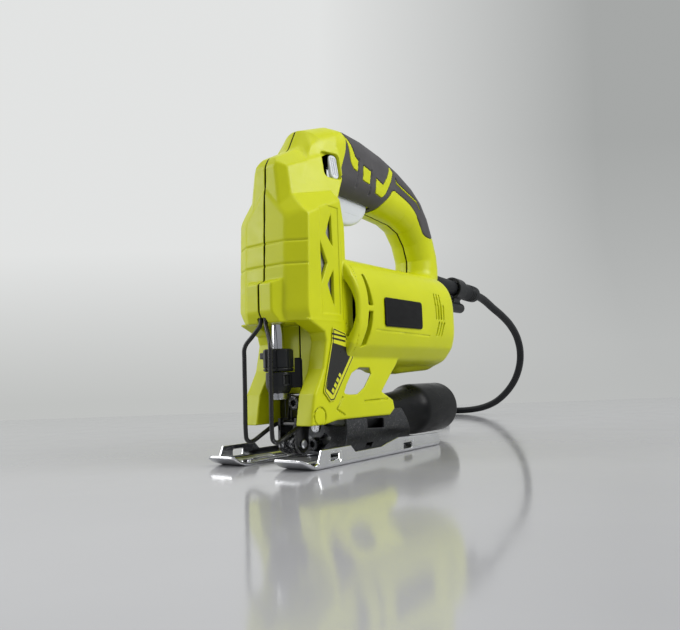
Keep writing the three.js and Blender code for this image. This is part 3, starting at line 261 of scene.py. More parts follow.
def moulded(name: str, shape: Field, low: Sequence[float], high: Sequence[float], pitch: float,
            keep: float = 1.0) -> bpy.types.Object:
    """A piece whose surface is where a field is zero.

    The net's vertices move along the gradient onto the surface. The mesh is then thinned where it
    is flat, and its normals are the field's own gradient.

    Args:
        name: the piece's name.
        shape: its field, below zero inside.
        low: the low corner of a box round it, in mm.
        high: the high corner.
        pitch: the grid's spacing.
        keep: the share of the triangles that is kept.
    """
    start = np.asarray(low, float) - 2 * pitch
    count = np.ceil((np.asarray(high) + 2 * pitch - start) / pitch).astype(int) + 1
    place, quads = net(sample(shape, start, count, pitch), start, pitch)
    place = place.astype(np.float32)
    for _ in range(3):
        value, gradient = slope(shape, place)
        size = np.maximum((gradient ** 2).sum(1), 0.05)
        place = place - gradient * np.clip(value / size, -pitch, pitch)[:, None]
    mesh = bpy.data.meshes.new(name)
    mesh.from_pydata([], [], [])
    mesh.vertices.add(len(place))
    mesh.vertices.foreach_set("co", (place * MM).astype(np.float32).ravel())
    mesh.loops.add(4 * len(quads))
    mesh.loops.foreach_set("vertex_index", quads.astype(np.int32).ravel())
    mesh.polygons.add(len(quads))
    mesh.polygons.foreach_set("loop_start", np.arange(0, 4 * len(quads), 4, dtype=np.int32))
    mesh.update(calc_edges=True)
    mesh.validate()
    piece = link(name, mesh)
    if keep < 1:
        thin = piece.modifiers.new("thin", "DECIMATE")
        thin.ratio = keep
        thinned = bpy.data.meshes.new_from_object(
            piece.evaluated_get(bpy.context.evaluated_depsgraph_get()))
        piece.modifiers.clear()
        piece.data = thinned
        bpy.data.meshes.remove(mesh)
        mesh = thinned
    mesh.name = name
    co = np.empty(3 * len(mesh.vertices), np.float32)
    mesh.vertices.foreach_get("co", co)
    _, gradient = slope(shape, co.reshape(-1, 3) / MM)
    gradient /= np.maximum(np.linalg.norm(gradient, axis=1, keepdims=True), 1e-6)
    mesh.polygons.foreach_set("use_smooth", np.ones(len(mesh.polygons), bool))
    mesh.normals_split_custom_set_from_vertices(gradient)
    LOG.info("%s: %d faces", name, len(mesh.polygons))
    return piece


def link(name: str, mesh: bpy.types.Mesh) -> bpy.types.Object:
    """Puts a mesh into the scene as an object at the origin."""
    piece = bpy.data.objects.new(name, mesh)
    bpy.context.scene.collection.objects.link(piece)
    return piece


# ------------------------------------------------------------------ turned and drawn pieces
def eased(corners: Sequence[tuple[float, ...]], closed: bool, steps: int = 5) -> Array:
    """A profile whose corners with a third value are rounded over that length, by a quadratic arc."""
    pts = np.array([c[:2] for c in corners], float)
    out = []
    for k, corner in enumerate(corners):
        r = corner[2] if len(corner) > 2 else 0.0
        if r <= 0 or (not closed and k in (0, len(corners) - 1)):
            out.append(pts[k][None])
            continue
        back, ahead = pts[k - 1] - pts[k], pts[(k + 1) % len(pts)] - pts[k]
        a = pts[k] + back * min(r / np.linalg.norm(back), 0.5)
        b = pts[k] + ahead * min(r / np.linalg.norm(ahead), 0.5)
        t = np.linspace(0, 1, steps + 1)[:, None]
        out.append((1 - t) ** 2 * a + 2 * t * (1 - t) * pts[k] + t * t * b)
    return np.concatenate(out)


def surface(name: str, grid: Array, around: bool, along: bool, sharp: float = 32.0) -> bpy.types.Object:
    """A piece from a grid of points, closed across its rows, along its columns, or at its ends.

    Args:
        name: the piece's name.
        grid: points in mm, one row for each station and one column for each turn about it.
        around: whether the last column meets the first.
        along: whether the last row meets the first; if not, each end row is closed by a flat cap.
        sharp: faces that meet at more than this angle, in degrees, keep a crisp edge.
    """
    rows, cols = grid.shape[:2]
    index = np.arange(rows * cols).reshape(rows, cols)
    nxt_row = np.roll(index, -1, 0) if along else index[1:]
    this_row = index if along else index[:-1]
    nxt = np.roll(nxt_row, -1, 1) if around else nxt_row[:, 1:]
    this = np.roll(this_row, -1, 1) if around else this_row[:, 1:]
    if not around:
        this_row, nxt_row = this_row[:, :-1], nxt_row[:, :-1]
    quads = np.stack([this_row, this, nxt, nxt_row], -1).reshape(-1, 4).tolist()
    if not along:
        quads += [index[0].tolist(), index[-1][::-1].tolist()]
    mesh = bpy.data.meshes.new(name)
    mesh.from_pydata((grid.reshape(-1, 3) * MM).tolist(), [], quads)
    return tidied(link(name, mesh), sharp)


def tidied(piece: bpy.types.Object, sharp: float = 32.0) -> bpy.types.Object:
    """Merges a mesh's doubles, turns its faces outwards and smooths all but its sharp edges."""
    mesh = piece.data
    work = bmesh.new()
    work.from_mesh(mesh)
    bmesh.ops.remove_doubles(work, verts=work.verts, dist=1e-7)
    bmesh.ops.dissolve_degenerate(work, edges=work.edges, dist=1e-7)
    bmesh.ops.recalc_face_normals(work, faces=work.faces)
    work.to_mesh(mesh)
    work.free()
    mesh.polygons.foreach_set("use_smooth", np.ones(len(mesh.polygons), bool))
    mesh.set_sharp_from_angle(angle=math.radians(sharp))
    return piece


AXES = {
    "x": ((1, 0, 0), (0, 1, 0), (0, 0, 1)),
    "y": ((0, 1, 0), (0, 0, 1), (1, 0, 0)),
    "-y": ((0, -1, 0), (0, 0, 1), (1, 0, 0)),
    "z": ((0, 0, 1), (1, 0, 0), (0, 1, 0)),
}


def lathed(name: str, corners: Sequence[tuple[float, ...]], axis: str, place: Sequence[float],
           sides: int = 72, closed: bool = False, tilt: float = 0.0) -> bpy.types.Object:
    """A turned piece: a profile of (along, radius, rounding) carried round an axis.

    Each point is place + along * axis + radius * (cos(turn) * u + sin(turn) * v).
    """
    profile = eased(corners, closed)
    ahead, u, v = (np.array(a, float) for a in AXES[axis])
    if tilt:
        c, s = math.cos(tilt), math.sin(tilt)
        ahead, v = np.array((c, 0, s)), np.array((-s, 0, c))
    turn = np.linspace(0, 2 * np.pi, sides, endpoint=False)
    ring = np.cos(turn)[:, None] * u + np.sin(turn)[:, None] * v
    grid = np.asarray(place, float) + profile[:, :1, None] * ahead + profile[:, 1:, None] * ring[None]
    return surface(name, grid, True, closed)


def smooth_path(points: Sequence[Sequence[float]], step: float) -> Array:
    """A centripetal Catmull-Rom curve through points, sampled about every step.

    Each stretch is the cubic with its ends' places and slopes, where a slope weighs the chords on
    both sides by the square roots of their lengths.
    """
    p = np.asarray(points, float)
    p = np.vstack([2 * p[0] - p[1], p, 2 * p[-1] - p[-2]])
    gap = np.sqrt(np.linalg.norm(np.diff(p, axis=0), axis=1))[:, None]
    a, b, c = gap[:-2], gap[1:-1], gap[2:]
    p0, p1, p2, p3 = p[:-3], p[1:-2], p[2:-1], p[3:]
    m1 = ((p1 - p0) / a - (p2 - p0) / (a + b) + (p2 - p1) / b) * b
    m2 = ((p2 - p1) / b - (p3 - p1) / (b + c) + (p3 - p2) / c) * b
    out = [p1[:1]]
    for q0, q1, s0, s1 in zip(p1, p2, m1, m2):
        n = max(2, int(np.linalg.norm(q1 - q0) / step) + 1)
        t = np.linspace(0, 1, n + 1)[1:, None]
        h = 2 * t ** 3 - 3 * t ** 2 + 1, t ** 3 - 2 * t ** 2 + t, 3 * t ** 2 - 2 * t ** 3, t ** 3 - t ** 2
        out.append(h[0] * q0 + h[1] * s0 + h[2] * q1 + h[3] * s1)
    return np.concatenate(out)


def drawn(name: str, path: Array, radius: float | Array, sides: int = 20,
          ends: float = 0.4, flat: float = 1.0) -> bpy.types.Object:
    """A rod or cord: a ring carried along a path without twist, its two ends rounded.

    Args:
        name: the piece's name.
        path: the points it follows, in mm.
        radius: its radius, one value or one for each point.
        sides: how many points a ring has.
        ends: how far each end is rounded.
        flat: how high a ring is as a share of its width.
    """
    radius = np.broadcast_to(np.asarray(radius, float), len(path)).copy()
    ahead = np.gradient(path, axis=0)
    ahead /= np.linalg.norm(ahead, axis=1, keepdims=True)
    side = np.cross(ahead[0], (0.0, 0.31, 0.95))
    sides_at = []
    for tangent in ahead:
        side = side - (side @ tangent) * tangent
        side = side / np.linalg.norm(side)
        sides_at.append(side)
    u = np.array(sides_at)
    v = np.cross(ahead, u) * flat
    turn = np.linspace(0, 2 * np.pi, sides, endpoint=False)
    ring = np.cos(turn)[None, :, None] * u[:, None] + np.sin(turn)[None, :, None] * v[:, None]
    grid = path[:, None] + radius[:, None, None] * ring
    first = path[0] + (grid[0] - path[0]) * (1 - ends / radius[0])
    last = path[-1] + (grid[-1] - path[-1]) * (1 - ends / radius[-1])
    shoulder = path[0] + ahead[0] * ends + (grid[0] - path[0])
    end = path[-1] - ahead[-1] * ends + (grid[-1] - path[-1])
    mid_first = path[0] + ahead[0] * ends * 0.3 + (grid[0] - path[0]) * (1 - 0.3 * ends / radius[0])
    mid_last = path[-1] - ahead[-1] * ends * 0.3 + (grid[-1] - path[-1]) * (1 - 0.3 * ends / radius[-1])
    grid = np.concatenate([[first, mid_first, shoulder], grid[2:-2], [end, mid_last, last]])
    return surface(name, grid, True, False, 50)


# ------------------------------------------------------------------ finishes
class Graph:
    """A material's node tree, with short calls for the nodes that the finishes use."""

    def __init__(self, name: str, roughness: float, metallic: float = 0.0) -> None:
        """Starts a material with a Principled shader."""
        self.material = bpy.data.materials.new(name)
        self.material.use_nodes = True
        self.tree = self.material.node_tree
        self.shader = self.tree.nodes["Principled BSDF"]
        self.set("Roughness", roughness)
        self.set("Metallic", metallic)
        self.place = self.node("ShaderNodeTexCoord").outputs["Object"]

    def node(self, kind: str, **values: object) -> bpy.types.Node:
        """Adds a node and sets its properties and inputs; a socket as value is linked."""
        made = self.tree.nodes.new(kind)
        for key, value in values.items():
            if hasattr(made, key):
                setattr(made, key, value)
                continue
            slot = made.inputs[int(key[1:]) if key[0] == "_" else key.replace("_", " ")]
            self.feed(slot, value)
        return made

    def feed(self, slot: bpy.types.NodeSocket, value: object) -> None:
        """Links a socket, or sets the value."""
        if isinstance(value, bpy.types.NodeSocket):
            self.tree.links.new(value, slot)
        else:
            slot.default_value = value

    def set(self, name: str, value: object) -> None:
        """Feeds the shader's own input."""
        self.feed(self.shader.inputs[name], value)

    def stretched(self, scale: Sequence[float]) -> bpy.types.NodeSocket:
        """Object coordinates scaled by axis."""
        return self.node("ShaderNodeMapping", Vector=self.place, Scale=tuple(scale)).outputs[0]

    def noise(self, scale: float, detail: float = 3.0, at: bpy.types.NodeSocket | None = None,
              rough: float = 0.55) -> bpy.types.NodeSocket:
        """A noise, from 0 to 1."""
        made = self.node("ShaderNodeTexNoise", Vector=at or self.place, Scale=scale, Detail=detail,
                         Roughness=rough)
        return made.outputs["Fac"]

    def curve(self, value: bpy.types.NodeSocket, low: float, high: float, start: float = 0.0,
              end: float = 1.0) -> bpy.types.NodeSocket:
        """Maps low..high onto start..end, held at the ends."""
        made = self.node("ShaderNodeMapRange", clamp=True)
        for key, v in (("Value", value), ("From Min", low), ("From Max", high), ("To Min", start),
                       ("To Max", end)):
            self.feed(made.inputs[key], v)
        return made.outputs[0]

    def mix(self, share: bpy.types.NodeSocket, a: object, b: object) -> bpy.types.NodeSocket:
        """Mixes two colours."""
        made = self.node("ShaderNodeMix", data_type="RGBA")
        self.feed(made.inputs[0], share)
        self.feed(made.inputs[6], a)
        self.feed(made.inputs[7], b)
        return made.outputs[2]

    def combine(self, operation: str, a: object, b: object = 0.5) -> bpy.types.NodeSocket:
        """One arithmetic step."""
        made = self.node("ShaderNodeMath", operation=operation)
        self.feed(made.inputs[0], a)
        self.feed(made.inputs[1], b)
        return made.outputs[0]

    def bump(self, height: bpy.types.NodeSocket, depth: float) -> None:
        """Gives the surface a relief of that depth in metres, on top of the one it has."""
        slot = self.shader.inputs["Normal"]
        before = slot.links[0].from_socket if slot.links else None
        made = self.node("ShaderNodeBump", Strength=1.0, Distance=depth, Height=height)
        if before:
            self.tree.links.new(before, made.inputs["Normal"])
        self.tree.links.new(made.outputs[0], slot)


def colour(red: int, green: int, blue: int) -> tuple[float, float, float, float]:
    """A display colour from 0 to 255 as linear light."""
    linear = [((c / 255 + 0.055) / 1.055) ** 2.4 if c > 10 else c / 255 / 12.92
              for c in (red, green, blue)]
    return (*linear, 1.0)


@dataclass(frozen=True)
class Plastic:
    """A moulded plastic: a fine spark-eroded grain, slight flow marks and handling smears.

    Within a given width in metres of the middle plane its colour is painted shade, the shade that
    falls in the gap between the two halves. Shine is how much it mirrors at its surface.
    """

    name: str
    light: tuple[int, int, int]
    deep: tuple[int, int, int]
    roughness: float = 0.42
    grain: float = 2600.0
    relief: float = 0.00003
    spread: float = 0.08
    coat: float = 0.0
    glow: float = 0.0
    seam_shade_width: float = 0.0
    shine: float = 0.5

    def make(self) -> bpy.types.Material:
        """Builds the material."""
        g = Graph(self.name, self.roughness)
        flow = g.noise(26, 4)
        skin = g.mix(g.curve(flow, 0.35, 0.65), colour(*self.light), colour(*self.deep))
        # Painted shade: a near-black band at the middle plane, where shade falls in the gap between the
        # halves.
        if self.seam_shade_width:
            across = g.node("ShaderNodeSeparateXYZ", Vector=g.place).outputs["Y"]
            off = g.node("ShaderNodeMath", operation="ABSOLUTE", _0=across).outputs[0]
            painted_seam_shade = colour(14, 16, 8)
            skin = g.mix(g.curve(off, self.seam_shade_width * 0.8, self.seam_shade_width), painted_seam_shade, skin)
        g.set("Base Color", skin)
        g.set("Specular IOR Level", self.shine)
        smear = g.noise(90, 5, g.stretched((1, 1, 2.4)))
        g.set("Roughness", g.curve(smear, 0.3, 0.7, self.roughness - self.spread,
                                   self.roughness + self.spread))
        g.bump(g.noise(self.grain, 2), self.relief)
        g.bump(g.noise(160, 2), self.relief * 1.2)
        if self.coat:
            g.set("Coat Weight", self.coat)
            g.set("Coat Roughness", 0.12)
        if self.glow:
            g.set("Subsurface Weight", self.glow)
            g.set("Subsurface Radius", (1.0, 0.9, 0.2))
            g.set("Subsurface Scale", 0.0015)
        return g.material


@dataclass(frozen=True)
class Grip:
    """A soft elastomer with a close pebble grain and polished high spots."""

    name: str = "grip_elastomer"

    def make(self) -> bpy.types.Material:
        """Builds the material."""
        g = Graph(self.name, 0.68)
        cells = g.node("ShaderNodeTexVoronoi", Vector=g.place, Scale=1500.0)
        worn = g.curve(g.noise(38, 4), 0.5, 0.72)
        g.set("Base Color", g.mix(worn, colour(58, 56, 58), colour(70, 68, 70)))
        g.set("Roughness", g.curve(g.noise(120, 4), 0.3, 0.7, 0.58, 0.76))
        g.set("Sheen Weight", 0.12)
        g.set("Sheen Roughness", 0.5)
        g.bump(cells.outputs["Distance"], 0.00006)
        return g.material


@dataclass(frozen=True)
class Metal:
    """A metal: rolled or ground streaks, scratches, and dirt in the low places."""

    name: str
    light: tuple[int, int, int]
    dark: tuple[int, int, int]
    roughness: float = 0.25
    streak: tuple[float, float, float] = (30, 900, 900)
    relief: float = 0.00002
    scratches: float = 0.25
    grime: float = 0.2

    def make(self) -> bpy.types.Material:
        """Builds the material."""
        g = Graph(self.name, self.roughness, 1.0)
        lines = g.noise(1.0, 3, g.stretched(self.streak))
        cloud = g.noise(60, 5)
        scratch = g.node("ShaderNodeTexWave", Vector=g.stretched((0.7, 1.3, 1.1)), Scale=90.0,
                         Distortion=26.0, Detail=3.0, Detail_Scale=2.2)
        fine = g.curve(scratch.outputs["Fac"], 0.955, 0.995, 0, self.scratches)
        stain = g.curve(cloud, 0.45, 0.72, 0, self.grime)
        body = g.mix(stain, colour(*self.light), colour(*self.dark))
        body = g.mix(fine, body, (0.9, 0.9, 0.9, 1))
        g.set("Base Color", body)
        rough = g.curve(lines, 0.25, 0.75, self.roughness * 0.75, self.roughness * 1.3)
        g.set("Roughness", g.combine("ADD", rough, g.combine("MULTIPLY", stain, 0.5)))
        g.bump(lines, self.relief)
        g.bump(g.noise(420, 4), self.relief)
        return g.material


@dataclass(frozen=True)
class Print:
    """A printed plate: an ink where the plate's own attribute is below zero, over a ground."""

    name: str
    ground: tuple[int, int, int]
    ink: tuple[int, int, int]
    roughness: float = 0.32
    blur: float = 0.06

    def make(self) -> bpy.types.Material:
        """Builds the material."""
        g = Graph(self.name, self.roughness)
        art = g.node("ShaderNodeAttribute", attribute_name="art").outputs["Fac"]
        share = g.curve(art, -self.blur, self.blur)
        fleck = g.noise(800, 3)
        ground = g.mix(fleck, colour(*self.ground), colour(*(int(c * 0.93) for c in self.ground)))
        ink = g.mix(fleck, colour(*self.ink), colour(*(int(c * 1.25) + 2 for c in self.ink)))
        g.set("Base Color", g.mix(share, ink, ground))
        g.set("Roughness", g.curve(g.noise(70, 5), 0.3, 0.7, self.roughness - 0.08,
                                   self.roughness + 0.1))
        g.bump(g.noise(300, 3), 0.00002)
        return g.material


class Palette:
    """Every finish of the tool, made once."""

    def __init__(self) -> None:
        """Makes the materials."""
        # The lime moulding carries painted shade along the gap between its two halves.
        self.lime = Plastic("lime_moulding", (208, 214, 16), (201, 208, 13), 0.36, glow=0.03,
                            seam_shade_width=0.0006, shine=0.34).make()
        self.charcoal = Grip().make()
        self.pale = Plastic("pale_key", (214, 218, 222), (206, 210, 214), 0.34).make()
        self.nylon = Plastic("black_nylon", (26, 28, 30), (20, 22, 24), 0.34, 1900, 0.00004,
                             shine=0.3).make()
        self.gloss = Plastic("black_gloss", (18, 18, 19), (14, 14, 15), 0.16, 1400, 0.00001, 0.05,
                             0.5).make()
        self.outlet = Plastic("outlet_plastic", (20, 21, 22), (15, 16, 17), 0.33, 2200, 0.00004,
                              shine=0.16).make()
        self.rubber = Plastic("cord_rubber", (31, 33, 35), (25, 27, 29), 0.46, 900, 0.00003,
                              shine=0.25).make()
        self.enamel = Plastic("wire_enamel", (20, 20, 21), (26, 26, 27), 0.28, 700, 0.00003).make()
        self.polished = Metal("polished_steel", (234, 235, 237), (150, 151, 153), 0.11,
                              (40, 700, 700), 0.000012, 0.12, 0.14).make()
        self.pressed = Metal("dark_pressed_steel", (80, 81, 83), (56, 57, 59), 0.36,
                             (60, 500, 500), 0.00002, 0.12, 0.35).make()
        self.chrome = Metal("chromed_rod", (205, 206, 208), (130, 131, 133), 0.07,
                            (900, 900, 60), 0.000004, 0.08, 0.12).make()
        self.steel = Metal("bright_steel", (186, 188, 191), (110, 112, 115), 0.24).make()
        self.blackened = Metal("blackened_steel", (52, 53, 55), (26, 26, 28), 0.3,
                               (500, 500, 60), 0.00002, 0.3, 0.4).make()
        self.cast = Metal("die_cast", (164, 166, 168), (104, 105, 107), 0.46, (260, 260, 260),
                          0.00008, 0.1, 0.35).make()
        self.copper = Metal("copper_wire", (196, 116, 62), (120, 62, 30), 0.36, (40, 1800, 1800),
                            0.00012, 0.1, 0.35).make()
        self.bronze = Metal("sintered_bronze", (158, 126, 74), (98, 76, 42), 0.42).make()
        self.carbon = Plastic("brush_carbon", (38, 38, 40), (26, 26, 28), 0.6, 1500, 0.00006).make()
        self.sticker = Print("leg_sticker", (224, 226, 44), (24, 24, 22)).make()
        self.badge = Plastic("badge_face", (14, 14, 15), (10, 10, 11), 0.5, 1500, 0.00001,
                             shine=0.2).make()


def dress(piece: bpy.types.Object, material: bpy.types.Material) -> bpy.types.Object:
    """Gives a piece one material in every slot."""
    if not piece.data.materials:
        piece.data.materials.append(material)
    for k in range(len(piece.data.materials)):
        piece.data.materials[k] = material
    return piece


def seat(piece: bpy.types.Object, body: str, slot: str, material: bpy.types.Material,
         *nodes: str) -> bpy.types.Object:
    """Finishes a piece, rides it on its body and lets it stand for its frame nodes."""
    dress(piece, material)
    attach(piece, body)
    if nodes:
        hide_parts(*nodes)
    LOG.info("%s rides on %s", piece.name, body)
    return piece


# ------------------------------------------------------------------ the cord
@dataclass(frozen=True)
class Cord:
    """The mains cord: its guard, the key that hangs from it, its coil and its plug."""

    radius: float = 3.5
    route: tuple[tuple[float, float, float], ...] = (
        (-217.8, 0, 115.4), (-231, -0.3, 114.2), (-244, -0.8, 111.6), (-259, -1, 107),
        (-278, -0.3, 100.8), (-297.5, 0, 92.8), (-315.5, -0.8, 81.8), (-331, -4, 68),
        (-345, -11, 53), (-357.5, -22, 38), (-368.5, -37, 24.5), (-378, -54, 14.2),
        (-385, -72, 8), (-389.3, -90, 5), (-390.8, -107, 4), (-391, -123.6, 3.9),
    )
    coil: tuple[float, float] = (-345, -150)
    rings: tuple[float, float, float] = (46, 39, 32)
    layers: tuple[float, float, float] = (3.7, 10.7, 17.7)
    entry: tuple[float, float] = (-128, 119.5)
    tilt: float = math.radians(2.6)

    def line(self) -> Array:
        """The centreline: the free stretch, then the turns of the coil, then over to the plug.

        A turn's place is centre - ring * (cos(turn), sin(turn)). The ring and the layer step from
        one value to the next in an eased stretch of 100 degrees, each clear of the turns below.
        """
        outer, mid, inner = self.rings
        low, high, top = self.layers
        turn = np.radians(np.arange(0, 5 * 360 + 90.1, 4.0))
        deg = np.degrees(turn)

        def step(start: float) -> Array:
            t = np.clip((deg - start) / 100, 0, 1)
            return t * t * (3 - 2 * t)

        ring = outer + (mid - outer) * step(260) + (inner - mid) * step(620)
        ring = ring + (mid - inner) * step(1140) + (outer - mid) * step(1500)
        z = low + (high - low) * step(880) + (top - high) * step(1700)
        last = np.clip((deg - 1800) / 90, 0, 1)
        last = last * last * (3 - 2 * last)
        ring = ring + (inner - outer) * last
        z = z + 2.8 * last
        cx, cy = self.coil
        turns = np.stack([cx - ring * np.cos(turn), cy - ring * np.sin(turn), z], 1)
        free = smooth_path([*self.route, (cx - outer, cy + 13, low), tuple(turns[0])], 3.0)
        return np.concatenate([free[:-1], turns])

    def build(self, palette: Palette) -> None:
        """Makes the cord, the plug, the guard, the key holder and the key."""
        line = self.line()
        lead = drawn("mains_cord", line, self.radius, 20)
        plug = self.plug()
        seat(plug, "housing", "black_nylon", palette.nylon, "plug_body")
        for side, y in (("left", 5), ("right", -5)):
            pin = lathed(f"prong_{side}", (
                (40.3, 0), (40.3, 2), (58.6, 2, 0.9), (59, 0.8, 0.4), (59, 0)), "x",
                (self.coil[0], self.coil[1] - self.rings[2] + y, self.layers[2] + 2.8), 32)
            seat(pin, "housing", "bright_steel", palette.steel, f"plug_pin_{side}")
        seat(lead, "housing", "cord_rubber", palette.rubber, "cord", "cord_coil")
        seat(self.guard(), "housing", "black_nylon", palette.rubber, "cord_guard")
        seat(self.holder(), "housing", "black_nylon", palette.nylon, "key_holder")
        seat(self.key(), "housing", "dark_steel", palette.blackened, "hex_key")

    def plug(self) -> bpy.types.Object:
        """A moulded plug: a waisted block with finger ridges and a round neck."""
        cx, cy = self.coil
        def shape(q: Points) -> Array:
            x = q.x - cx
            y = q.y - cy + self.rings[2]
            z = q.z - self.layers[2] - 2.8
            waist = 7.9 - 1.5 * np.exp(-((x - 23) / 6.5) ** 2) - 1.6 * np.clip((17 - x) / 8, 0, 1)
            tall = 5.9 - 0.9 * np.clip((19 - x) / 10, 0, 1)
            block = round_max(np.abs(y) - waist, np.abs(z) - tall, 2.6)
            block = round_max(block, np.abs(x - 24.5) - 15.4, 1.6)
            for k in range(4):
                rib = np.abs(x - 29 + 3.4 * k) - 0.7
                block = soft_max(block, -np.maximum(rib, 7.1 - np.abs(y)), 0.5)
            neck = np.maximum(np.hypot(y, z) - 4.55, np.abs(x - 6) - 6)
            return soft_min(block, neck, 1.6)
        low = (cx - 1, cy - self.rings[2] - 9, self.layers[2] - 5)
        return moulded("plug", shape, low, (cx + 41, low[1] + 18, low[2] + 15), 0.5, 0.6)

    def guard(self) -> bpy.types.Object:
        """The bend guard: a tapered sleeve with a swollen end that has three ribs."""
        rear, swell = -217.2, -205.2
        ribs = [(swell + 4.2 - 2.9 * k + d, r, 0.3) for k in range(3)
                for d, r in ((0.9, 7.15), (0.5, 6.5), (-0.5, 6.5), (-0.9, 7.15))]
        corners = [(-111, 0), (-111, 6), (-124, 6.15), (-127.5, 8.4, 0.8), (-129.6, 8.4, 0.8),
                   (-133, 6.3, 1.5), (-150, 6.05, 2), (-180, 6.1, 3), (-196, 6.5, 3), (-200, 7.1, 1),
                   *ribs, (rear + 3, 7.0, 1), (rear, 5.6, 1.2), (rear, 3.7), (rear + 2, 0)]
        bend, z = self.entry
        return lathed("bend_guard", [(x - bend, *rest) for x, *rest in corners], "x",
                      (bend, 0, z), 64, tilt=self.tilt)

    def holder(self) -> bpy.types.Object:
        """The key holder: a clip round the guard, a web, and a tube that grips the key."""
        bend, z0 = self.entry
        def shape(q: Points) -> Array:
            axis = z0 + math.tan(self.tilt) * (q.x - bend)
            r = np.hypot(q.y, q.z - axis)
            clip = round_max(np.abs(r - 7.95) - 1.0, np.abs(q.x + 178.5) - 6.4, 0.5)
            web = round_max(np.abs(q.y) - 1.9, np.abs(q.x + 178.5) - 5.9, 0.8)
            web = np.maximum(web, np.maximum(q.z - 109.3, 101 - q.z))
            tube = np.hypot(q.y, q.z - 101.4) - 4.15
            tube = round_max(tube, np.abs(q.x + 168) - 21.9, 3.4)
            d = soft_min(soft_min(clip, web, 1.6), tube, 1.6)
            return soft_max(d, 2.2 - np.hypot(q.y, q.z - 101.4), 0.3)
        return moulded("key_clip", shape, (-191, -10, 96), (-145, 10, 128), 0.45, 0.6)

    def key(self) -> bpy.types.Object:
        """A hexagonal key: a six-sided bar carried round its bend."""
        bend = [(-144 + 4 * math.sin(a), 0, 97.4 + 4 * math.cos(a))
                for a in np.linspace(0, math.pi / 2, 8)]
        path = np.array([(-186, 0, 101.4), (-170, 0, 101.4), (-150, 0, 101.4), *bend,
                         (-140, 0, 92), (-140, 0, 83.4)], float)
        return drawn("hex_bar", path, 2.0, 6, 0.3)


